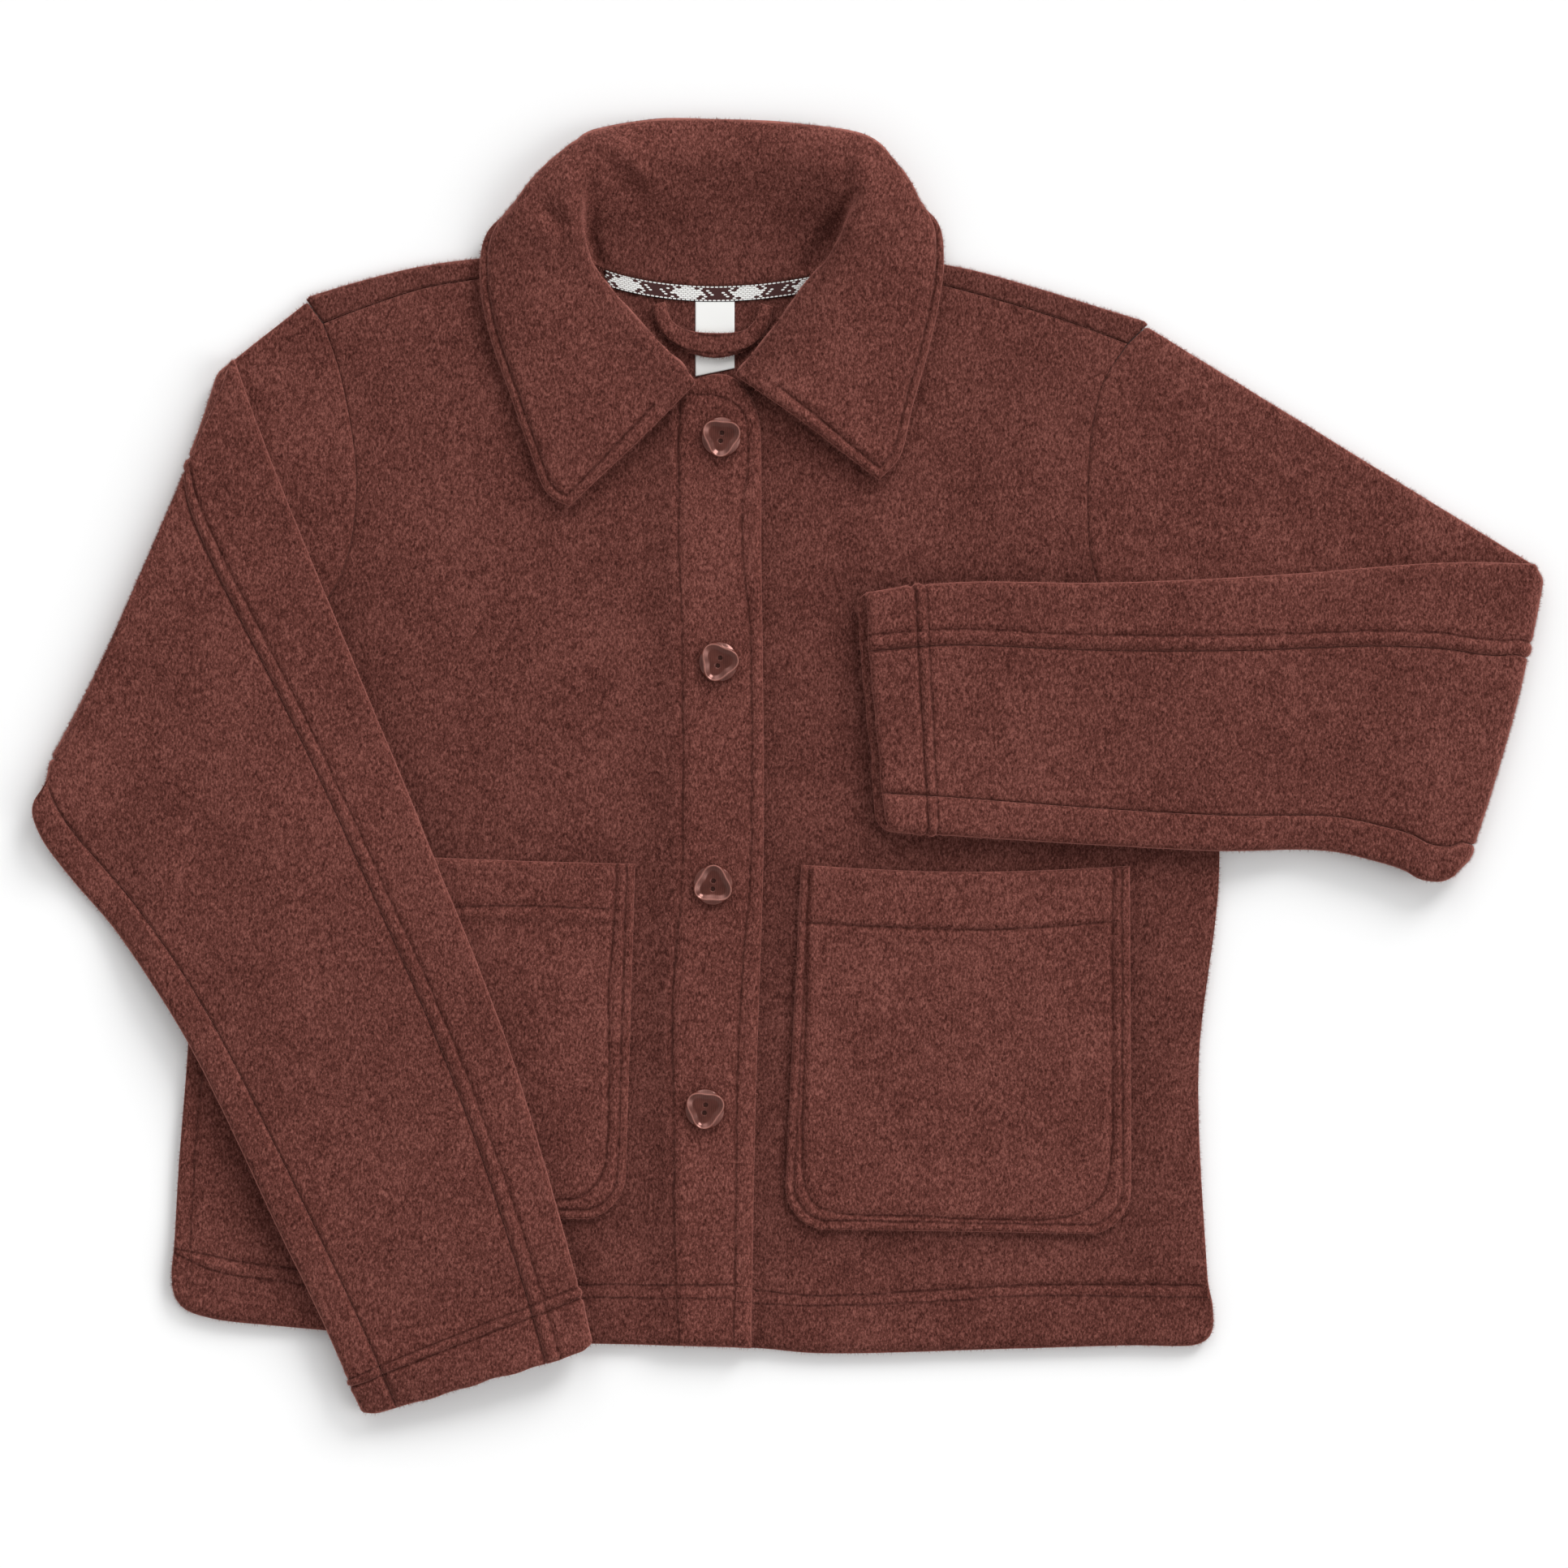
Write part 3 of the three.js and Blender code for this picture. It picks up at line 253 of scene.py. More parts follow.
@dataclass(frozen=True)
class Crease:
    """A soft trough or ridge laid along a line in plan.

    Its height is height * exp(-(distance / width)^2), fading over the fade length at both ends.
    """

    line: Points
    width: float
    height: float
    fade: float = 18.0

    def lift(self, points: Array) -> Array:
        """How far the crease moves each point up, or down where it is negative.

        Args:
            points: Places, with X and Y first on the last axis.

        Returns:
            Heights in millimetres.
        """
        path = Path(self.line, 60)
        line = path.dense
        reach = np.abs(line_distance(points, line))
        ends = np.minimum(np.linalg.norm(points[..., :2] - line[0, :2], axis=-1),
                          np.linalg.norm(points[..., :2] - line[-1, :2], axis=-1))
        return self.height * bell(reach / self.width) * smooth(ends / self.fade + 0.15)


def lifted(points: Array, creases: Sequence[Crease]) -> Array:
    """The sum of what several creases do at each point.

    Args:
        points: Places, with X and Y first on the last axis.
        creases: The creases.

    Returns:
        Heights in millimetres.
    """
    total = np.zeros(points.shape[:-1])
    for crease in creases:
        total = total + crease.lift(points)
    return total


def ripple(points: Array, size: float, seed: float) -> Array:
    """A gentle uneven surface: the mean of four sine waves of different headings and lengths.

    Args:
        points: Places, with X and Y first on the last axis.
        size: The typical distance from crest to crest in millimetres.
        seed: Moves and turns the waves.

    Returns:
        Heights from about -1 to 1.
    """
    x, y = points[..., 0], points[..., 1]
    total = np.zeros(x.shape)
    for k in range(4):
        heading = seed * 1.7 + k * 2.39996
        length = size * (0.75 + 0.22 * k)
        phase = 2 * math.pi * (x * math.cos(heading) + y * math.sin(heading)) / length
        total = total + np.sin(phase + seed * 3.1 + 1.9 * k)
    return total / 4


def coons(bottom: Array, top: Array, left: Array, right: Array,
          u: Array, v: Array) -> Array:
    """A patch in plan that fills four boundary curves: both ways across, less the corners' own patch.

    Args:
        bottom: Points of the lower boundary at each u.
        top: Points of the upper boundary at each u.
        left: Points of the boundary at u = 0, at each v.
        right: Points of the boundary at u = 1, at each v.
        u: Shares across.
        v: Shares up.

    Returns:
        The grid's points, a row for each v and a column for each u.
    """
    uu, vv = u[None, :, None], v[:, None, None]
    across = (1 - vv) * bottom[None] + vv * top[None]
    along = (1 - uu) * left[:, None] + uu * right[:, None]
    low = (1 - uu) * left[0] + uu * right[0]
    high = (1 - uu) * left[-1] + uu * right[-1]
    return across + along - ((1 - vv) * low + vv * high)


# Meshes


@dataclass
class Surface:
    """A piece of cloth: its middle surface on a grid, its wall, and what its finish reads there.

    Attributes:
        mid: Grid of points in millimetres.
        side: 1 or -1, the way from the middle to the right side of the cloth.
        wall: Thickness in millimetres.
        relief: Height added to the right side at each point.
        stitches: Signed distances in millimetres to up to six lines of stitching.
        tone: Painted light and shade: how much lighter or darker the cloth is coloured at each point, as
            a share.
        has: Which cells of the grid are there.
        round_over: Distance from an open edge over which the wall rounds off.
        uv: The finish's own coordinates, where it has them.
    """

    mid: Array
    side: float = 1.0
    wall: float = CLOTH
    relief: Array | None = None
    stitches: Sequence[Array] = ()
    tone: Array | float = 0.0
    has: Array | None = None
    round_over: float = 1.5
    uv: Array | None = None

    def normals(self) -> Array:
        """Unit normals towards the right side: the cross product of the grid's two directions.

        Returns:
            The normals, one for each point.
        """
        along = np.gradient(self.mid, axis=0)
        across = np.gradient(self.mid, axis=1)
        return self.side * unit(np.cross(across, along))

    def edge_reach(self) -> Array:
        """Distance along the grid from each point to the nearest of its four sides.

        Returns:
            Distances in millimetres.
        """

        def run(axis: int) -> Array:
            """Distance along one direction of the grid from the nearer of its two sides.

            Args:
                axis: The direction.

            Returns:
                Distances in millimetres.
            """
            steps = np.linalg.norm(np.diff(self.mid, axis=axis), axis=-1)
            zero = np.zeros_like(np.take(steps, [0], axis=axis))
            reach = np.concatenate([zero, np.cumsum(steps, axis=axis)], axis=axis)
            total = np.take(reach, [-1], axis=axis)
            return np.minimum(reach, total - reach)

        return np.minimum(run(0), run(1))

    def build(self, name: str) -> Piece:
        """Makes the closed piece: both faces of the wall, rounded off and joined at its open edges.

        The half wall is wall / 2 * sqrt(1 - (1 - d / r)^2) at a distance d from an open edge. Relief
        fades out where the right side turns down, and nothing reaches below the surface underneath.

        Args:
            name: The piece's name.

        Returns:
            The new object.
        """
        rows, columns = self.mid.shape[:2]
        has = np.ones((rows - 1, columns - 1), bool) if self.has is None else self.has
        share = np.clip(1 - self.edge_reach() / self.round_over, 0.0, 1.0)
        half = self.wall / 2 * np.maximum(np.sqrt(1 - share**2), 0.08)
        relief = np.zeros((rows, columns)) if self.relief is None else self.relief
        normal = self.normals()
        relief = relief * (1 - share) * smooth((normal[..., 2] + 0.6) / 0.5)
        right = self.mid + normal * (half + relief)[..., None]
        wrong = self.mid - normal * half[..., None]
        points = np.concatenate([right.reshape(-1, 3), wrong.reshape(-1, 3)])
        points[:, 2] = np.maximum(points[:, 2], 0.0)
        node = np.arange(rows * columns).reshape(rows, columns)
        quads = self._quads(node, has, rows * columns)
        kept, inverse = np.unique(quads, return_inverse=True)
        obj = mesh_object(name, points[kept] * MM, inverse.reshape(quads.shape))
        distances = [np.full((rows, columns), FAR)] * 6
        distances[:len(self.stitches)] = list(self.stitches)
        for label, group in (("stitches", distances[:3]), ("stitches_more", distances[3:])):
            values = np.stack([np.clip(d, -FAR, FAR) for d in group], axis=-1).reshape(-1, 3)
            write_values(obj.data, label, np.concatenate([values, np.full_like(values, FAR)])[kept])
        # The painted light and shade, kept as the attribute tone for the wool's colour.
        tone = np.broadcast_to(self.tone, (rows, columns)).ravel()
        write_values(obj.data, "tone", np.concatenate([tone, tone])[kept])
        if self.uv is not None:
            write_uv(obj.data, "weave", np.concatenate([self.uv.reshape(-1, 2)] * 2)[kept])
        return obj

    def _quads(self, node: Array, has: Array, count: int) -> Array:
        """Faces of both sides and of the rims between cells that are there and cells that aren't.

        Args:
            node: Numbers of the right side's points.
            has: Which cells are there.
            count: How many points one side has.

        Returns:
            Four point numbers for each face.
        """
        a, b, c, d = node[:-1, :-1], node[:-1, 1:], node[1:, 1:], node[1:, :-1]
        near = np.stack([a, b, c, d], -1)[has]
        parts = [near, near[:, ::-1] + count]
        held = np.pad(has, 1)
        sides = ((held[:-2, 1:-1], a, b), (held[1:-1, 2:], b, c),
                 (held[2:, 1:-1], c, d), (held[1:-1, :-2], d, a))
        for beside, start, end in sides:
            rim = has & ~beside
            s, e = start[rim], end[rim]
            parts.append(np.stack([e, s, s + count, e + count], -1))
        quads = np.concatenate(parts)
        return quads if self.side > 0 else quads[:, ::-1]


def mesh_object(name: str, points: Array, faces: Array) -> Piece:
    """Puts points and faces into a new smooth-shaded object at the origin.

    Args:
        name: The object's name.
        points: Places in metres.
        faces: Point numbers, a row for each face.

    Returns:
        The object, linked to the scene.
    """
    mesh = bpy.data.meshes.new(name)
    sides = faces.shape[1]
    mesh.vertices.add(len(points))
    mesh.vertices.foreach_set("co", np.ascontiguousarray(points, np.float32).ravel())
    mesh.loops.add(faces.size)
    mesh.loops.foreach_set("vertex_index", np.ascontiguousarray(faces, np.int32).ravel())
    mesh.polygons.add(len(faces))
    mesh.polygons.foreach_set("loop_start", np.arange(0, faces.size, sides, dtype=np.int32))
    mesh.polygons.foreach_set("use_smooth", np.ones(len(faces), bool))
    mesh.update(calc_edges=True)
    mesh.validate()
    obj = bpy.data.objects.new(name, mesh)
    bpy.context.scene.collection.objects.link(obj)
    return obj


def write_values(mesh: bpy.types.Mesh, name: str, values: Array) -> None:
    """Keeps one number, or three, for each point of a mesh as a named attribute.

    Args:
        mesh: The mesh.
        name: The attribute's name.
        values: A value, or a row of three, for each point.
    """
    kind, key = ("FLOAT", "value") if values.ndim == 1 else ("FLOAT_VECTOR", "vector")
    layer = mesh.attributes.new(name, kind, "POINT")
    layer.data.foreach_set(key, values.astype(np.float32).ravel())


def write_uv(mesh: bpy.types.Mesh, name: str, places: Array) -> None:
    """Keeps two coordinates for each point of a mesh as a named UV map.

    Args:
        mesh: The mesh.
        name: The map's name.
        places: A row of two for each point.
    """
    corners = np.empty(len(mesh.loops), np.int32)
    mesh.loops.foreach_get("vertex_index", corners)
    layer = mesh.uv_layers.new(name=name)
    layer.data.foreach_set("uv", places[corners].astype(np.float32).ravel())


# The body


@dataclass(frozen=True)
class Outline:
    """The body's outlines in plan, shared by its panels, its sleeves and its pockets."""

    hem: Points = ((-334.4, -279), (-333, -285), (-328, -291.3), (-314, -296.4), (-274, -301),
                   (-182, -308), (-19, -312.6), (15, -315.4), (120, -313), (186, -311.2), (210, -311.6),
                   (219, -311), (225.4, -308.2), (228.4, -303.6), (229.2, -298))
    sides: dict[Side, Points] = per_side(
        ((-334.4, -279), (-334.8, -270), (-333.6, -259), (-331, -215), (-326, -150),
         (-321.4, -57), (-318.3, 36.5)),
        ((229.2, -298), (228.6, -288), (226.6, -279), (225.2, -262), (221.2, -158), (232, -60),
         (230.3, 33.5)))
    armholes: dict[Side, Points] = per_side(
        ((-318.3, 36.5), (-277, 67), (-245.3, 101.4), (-234.7, 150), (-242.2, 208.8),
         (-252.5, 242)),
        ((230.3, 33.5), (194, 66), (166.5, 102.3), (161, 152), (168.5, 207), (182.5, 231)))
    tips: dict[Side, tuple[float, float]] = per_side((-261, 253.6), (192.4, 240.4))
    folds: dict[Side, Points] = per_side(
        ((-261, 253.6), (-235, 261.5), (-202, 269.7), (-170, 274.3), (-124, 277)),
        ((43.5, 276), (90, 270), (133, 258.6), (168, 247.8), (192.4, 240.4)))
    seams: dict[Side, Points] = per_side(
        ((-252.5, 242), (-229, 251), (-199, 260.8), (-169, 266), (-122.5, 272.5)),
        ((42.5, 271.6), (87, 261.5), (128, 250), (160, 239.5), (182.5, 231)))
    hem_depth: float = 29.0
    turn_up: float = 0.9
    puff: float = 1.2
    puff_span: dict[Side, tuple[float, float]] = per_side((-305.0, -82.0), (5.0, 218.0))
    puff_rows: tuple[float, float] = (-280.0, 205.0)
    band_ramp: tuple[float, float] = (-81.0, -62.0)

    def hem_y(self, x: Array) -> Array:
        """The hem's Y below each X."""
        return Path(self.hem).at_x(x)

    def puff_at(self, x: Array, y: Array) -> Array:
        """How far a front stands off the back: a half sine across times a half sine up.

        Args:
            x: Places along X.
            y: Places along Y.

        Returns:
            Heights in millimetres.
        """
        total = np.zeros(np.shape(x))
        first, last = self.puff_rows
        up = np.sin(np.pi * np.clip((y - first) / (last - first), 0, 1))
        for low, high in self.puff_span.values():
            total = total + np.sin(np.pi * np.clip((x - low) / (high - low), 0, 1)) * up
        return self.puff * total

    def on_band(self, x: Array) -> Array:
        """1 where the right front lies on the left one, 0 away from it."""
        return smooth((x - self.band_ramp[0]) / (self.band_ramp[1] - self.band_ramp[0]))


@dataclass
class Body:
    """The back and the two fronts."""

    outline: Outline
    edges: dict[Side, Points] = per_side(
        ((-21, -312.6), (-18.7, -183), (-14.3, -40), (-14.7, 53), (-15.6, 120)),
        ((-57, -312.4), (-55, -40), (-55, 120)))
    necklines: dict[Side, Points] = per_side(
        ((-15.6, 120), (-15.6, 171), (-16.1, 184.6), (-18.7, 196.5), (-22.7, 204.4),
         (-27.5, 210), (-33, 213.4), (-40, 214.4), (-47, 212.6), (-55, 207), (-65, 207.5),
         (-81, 218.6), (-98.5, 239), (-113.5, 259.5), (-122.5, 272.5)),
        ((-55, 120), (-54, 165), (-46.5, 187), (-40, 199), (-18.5, 206.5), (-11.5, 211.5),
         (-2.5, 220.5), (11, 238), (26.5, 257.5), (42.5, 271.6)))
    band_line: Points = ((-57, 230), (-60, 193), (-60, 110), (-58.7, 83), (-58.7, -62), (-61, -88),
                         (-63.5, -121), (-63.1, -183), (-62.3, -269), (-60, -310))
    edge_line: Points = ((-70, 207.5), (-50, 203.2), (-42, 202.7), (-32.3, 200), (-26.5, 195),
                         (-23.5, 189), (-22.7, 167), (-25.7, 145), (-25.3, 110), (-22, 83), (-21, -22),
                         (-22.2, -62), (-25.7, -106), (-28.4, -154), (-29.3, -220), (-30.6, -312))
    hem_lines: tuple[tuple[Side, Points], ...] = (
        (Side.RIGHT, ((-332, -259), (-313.2, -262.5), (-298.5, -266), (-282, -268.2), (-266.4, -270),
                      (-200, -274), (-111, -278.3), (-29, -278.3))),
        (Side.RIGHT, ((-334, -260.5), (-319.7, -267.7), (-306.8, -272), (-290, -274.8), (-263.3, -277.9),
                      (-190, -282), (-111, -285.4), (-29, -285.6))),
        (Side.LEFT, ((-18, -281.4), (18.7, -284.5), (77.7, -281.4), (136.6, -278.7), (226, -278.7))),
        (Side.LEFT, ((-18, -288.4), (17, -289.7), (77.7, -287.5), (124.7, -284.5), (226, -285.3))),
        (Side.RIGHT, ((-317, -140), (-318.3, -167), (-322.3, -205), (-324, -241), (-325, -258))),
    )
    creases: tuple[Crease, ...] = (
        Crease(((-250, 40), (-215, -10), (-150, -30)), 16, 0.7),
        Crease(((150, 150), (110, 120), (60, 118)), 18, 0.5),
        Crease(((-110, 120), (-100, 40), (-96, -40)), 14, -0.35),
        Crease(((20, 140), (28, 40), (24, -60)), 14, -0.4),
        Crease(((-200, 230), (-150, 190), (-120, 140)), 18, 0.5),
        Crease(((120, 220), (60, 190), (20, 150)), 18, -0.4),
        Crease(((-240, -255), (-180, -262), (-90, -262)), 9, -0.35),
        Crease(((30, -266), (110, -262), (200, -264)), 9, -0.35),
    )
    pockets_at: tuple[tuple[float, float, float, float], ...] = (
        (-266, -86, -241, -47), (-2, 184, -249, -52))
    forearms: tuple[Points, ...] = (
        ((-300, 222), (-260, 116), (-203, -20), (-151, -152), (-119, -259), (-106, -312)),
        ((402, 111), (247, 104), (85, 101), (38, 95), (49, -32), (230, -43), (289, -43)),
    )
    front_size: tuple[float, float] = (270.0, 500.0)
    band_marks: dict[Side, tuple[float, ...]] = per_side((44.4, 46), (36,))
    hem_marks: tuple[float, ...] = (27, 34, 36, 42)
    band_rise: float = 0.8
    back_neck: Points = ((-124, 277), (-106.2, 274), (-96.4, 270.3), (-84.2, 267.2), (-67.1, 264.4),
                         (-44, 262.8), (-20.1, 263.7), (1.8, 266.4), (16.6, 269.3), (26.6, 272.3),
                         (43.5, 276))
    back_length: float = 520.0
    shoulder_strip: float = 12.0
    # Painted light and shade: the fronts and the back coloured darker, the band lighter, and painted
    # shade beside the forearms, pockets, band and overlap.
    front_painted_shade: float = -0.04
    back_painted_shade: float = -0.14
    band_painted_light: float = 0.05
    forearm_shade: tuple[float, float] = (0.17, 13.0)
    pocket_shade: tuple[float, float] = (0.12, 17.0)
    lap_shade: tuple[float, float] = (0.10, 15.0)
    band_shade: tuple[float, float] = (0.04, 12.0)

    def shade(self, points: Array) -> Array:
        """Painted shade beside the forearms: depth * exp(-distance / reach).

        Args:
            points: Places in plan.

        Returns:
            Shares to add to the cloth's brightness.
        """
        depth, reach = self.forearm_shade
        total = np.zeros(points.shape[:-1])
        for line in self.forearms:
            total = total + np.exp(-np.abs(line_distance(points, np.asarray(line, float))) / reach)
        return -depth * total

    def tone(self, side: Side, points: Array, band: Array | float) -> Array:
        """Painted light and shade on a front: darker all over, painted shade beside what lies on it,
        painted light on the band.

        Args:
            side: Which front.
            points: Places in plan.
            band: Distances inside the right front's band, negative off it.

        Returns:
            Shares to add to the cloth's brightness.
        """
        x, y = points[..., 0], points[..., 1]
        total = self.shade(points) + self.front_painted_shade
        depth, reach = self.pocket_shade
        for left, right, low, high in self.pockets_at:
            beside = np.hypot(np.maximum(np.maximum(left - x, x - right), 0),
                              np.maximum(np.maximum(low - y, y - high), 0))
            total = total - depth * np.exp(-beside / reach)
        if side is Side.LEFT:
            depth, reach = self.lap_shade
            return total - depth * np.exp(-np.maximum(x + 16, 0) / reach)
        depth, reach = self.band_shade
        off_band = total - depth * np.exp(np.minimum(band, 0) / reach)
        return np.where(band > 0, self.band_painted_light + 0.3 * self.shade(points), off_band)

    def side_edge(self, side: Side, v: Array) -> Array:
        """The outer boundary of a panel: the side seam up to the split and the armhole above it.

        Args:
            side: Which side of the body.
            v: Shares up the panel.

        Returns:
            Points in plan.
        """
        low = Path(self.outline.sides[side]).even(v / SPLIT)
        high = Path(self.outline.armholes[side]).even((v - SPLIT) / (1 - SPLIT))
        return np.where((v <= SPLIT)[:, None], low, high)

    def relief(self, points: Array) -> Array:
        """The soft unevenness of a laid front: broad ripples and the listed creases."""
        ripples = 0.42 * ripple(points, 95, 1.0) + 0.2 * ripple(points, 38, 2.6)
        return ripples + lifted(points, self.creases)

    def front_height(self, side: Side, points: Array) -> Array:
        """Height of a front's middle: its plane, its puff, and its rise over the other front's band.

        Args:
            side: Which front.
            points: Places in plan.

        Returns:
            Heights in millimetres.
        """
        x, y = points[..., 0], points[..., 1]
        rise = OVERLAP_RISE * self.outline.on_band(x) if side is Side.RIGHT else 0.0
        return FRONT_MID + self.outline.puff_at(x, y) + rise

    def front(self, side: Side) -> Surface:
        """One front: a patch between its front edge and neckline, its side and armhole, hem and shoulder.

        Args:
            side: Which front.

        Returns:
            Its surface, with its hem and its band raised and its stitching sunk.
        """
        edge = Path(self.edges[side])
        neckline = Path(self.necklines[side])
        u = graded(self.front_size[0], self.band_marks[side], coarse=2.9)
        v = graded(self.front_size[1], self.hem_marks, coarse=2.9)
        seam = Path(self.outline.seams[side][::-1] if side is Side.RIGHT else self.outline.seams[side])
        inner = neckline.at(np.clip((v - SPLIT) / (1 - SPLIT), 0, 1))
        left = np.where((v <= SPLIT)[:, None], edge.even(v / SPLIT), inner)
        hem_x = np.interp(u, [0, 1], [self.edges[side][0][0], self.outline.sides[side][0][0]])
        bottom = np.stack([hem_x, self.outline.hem_y(hem_x)], -1)
        plan = coons(bottom, seam.even(u), left, self.side_edge(side, v), u, v)
        mid = np.concatenate([plan, self.front_height(side, plan)[..., None]], -1)
        lines = [line_distance(plan, Path(line).dense[::6]) for of, line in self.hem_lines if of is side]
        x, y = plan[..., 0], plan[..., 1]
        over_hem = y - self.outline.hem_y(x)
        relief = self.relief(plan) * smooth((over_hem - 20) / 40)
        turned = smooth((self.outline.hem_depth + 1 - over_hem) / 2.5 + 0.5)
        relief = relief + self.outline.turn_up * turned
        band: Array | float = 0.0
        if side is Side.RIGHT:
            band = line_distance(plan, Path(self.band_line).dense[::6])
            topstitch = line_distance(plan, Path(self.edge_line).dense[::4])
            relief = relief + self.band_rise * smooth(band / 2.2 + 0.5)
            lines += [band, topstitch]
        else:
            relief = relief * smooth((x + 20) / 14)
        for distance in lines:
            relief = relief + pinch(distance)
        relief = relief + 0.5 * bell((over_hem - 7) / 5)
        # tone carries the painted light and shade into the wool's colour.
        return Surface(mid, side=float(side.value), relief=relief, stitches=lines, round_over=2.8,
                       tone=self.tone(side, plan, band))

    def back(self) -> Surface:
        """The back: flat on the surface, half a turn over each shoulder, and down to the seam in front.

        Returns:
            Its surface. The cells past the neckline are left out.
        """
        shoulder, neck = 70, 90
        folds = {side: Path(self.outline.folds[side]) for side in Side}
        seams = {side: Path(self.outline.seams[side]) for side in Side}
        back_neck = Path(self.back_neck)
        u = np.linspace(0, 1, 2 * shoulder + neck + 1)
        place = u * (2 * shoulder + neck)
        top = np.where((place <= shoulder)[:, None], folds[Side.RIGHT].even(place / shoulder),
                       np.where((place <= shoulder + neck)[:, None],
                                back_neck.even((place - shoulder) / neck),
                                folds[Side.LEFT].even((place - shoulder - neck) / shoulder)))
        v = graded(self.back_length, coarse=6.0)
        hem_x = np.interp(u, [0, 1], [self.outline.hem[0][0], self.outline.hem[-1][0]])
        bottom = np.stack([hem_x, self.outline.hem_y(hem_x)], -1)
        outer = {}
        for side in Side:
            arm = Path(self.outline.armholes[side])
            tip = np.asarray(self.outline.tips[side], float)
            share = np.clip((v - SPLIT) / (1 - SPLIT), 0, 1) * 10 / 9
            past = np.clip((share - 1) * 9, 0, 1)[:, None]
            above = arm.even(share) * (1 - past) + tip * past
            below = Path(self.outline.sides[side]).even(v / SPLIT)
            outer[side] = np.where((v <= SPLIT)[:, None], below, above)
        plan = coons(bottom, top, outer[Side.RIGHT], outer[Side.LEFT], u, v)
        flat = np.concatenate([plan, np.full(plan.shape[:2] + (1,), BACK_MID)], -1)
        radius = (FRONT_MID - BACK_MID) / 2
        beyond = unit(flat[-1] - flat[-3])
        turn = np.linspace(0, np.pi, 13)[1:, None, None]
        wrap = flat[-1] + beyond * (radius * np.sin(turn))
        wrap[..., 2] = BACK_MID + radius * (1 - np.cos(turn[..., 0]))
        seam_share = np.clip(place / shoulder, 0, 1)
        other_share = np.clip((place - shoulder - neck) / shoulder, 0, 1)
        seam = np.where((place <= shoulder)[:, None], seams[Side.RIGHT].even(seam_share),
                        seams[Side.LEFT].even(other_share))
        seam = seam + 2 * SEAM_GAP * unit(flat[-1, :, :2] - seam)
        end = np.concatenate([seam, np.full((len(u), 1), FRONT_MID)], -1)
        run = graded(self.shoulder_strip, fine=0.35, coarse=1.2)[1:, None, None]
        strip = wrap[-1] * (1 - run) + end * run
        mid = np.concatenate([flat, wrap, strip])
        rows = len(mid) - 1
        has = np.ones((rows, len(u) - 1), bool)
        has[len(flat) - 1:, shoulder:shoulder + neck] = False
        return Surface(mid, has=has, tone=self.back_painted_shade)

    def build(self, finish: "WoolFleece") -> list[Piece]:
        """Makes and dresses the back and both fronts.

        Args:
            finish: The wool.

        Returns:
            The pieces.
        """
        pieces = []
        for name, surface, cut in (
            ("back", self.back(), (0.62, 0.63, 0.294)),
            ("front_right", self.front(Side.RIGHT), (0.37, 0.62, 0.164)),
            ("front_left", self.front(Side.LEFT), (0.34, 0.62, 0.148)),
        ):
            pieces += dress(surface.build(name + "_cloth"), finish, (name,))
        return pieces


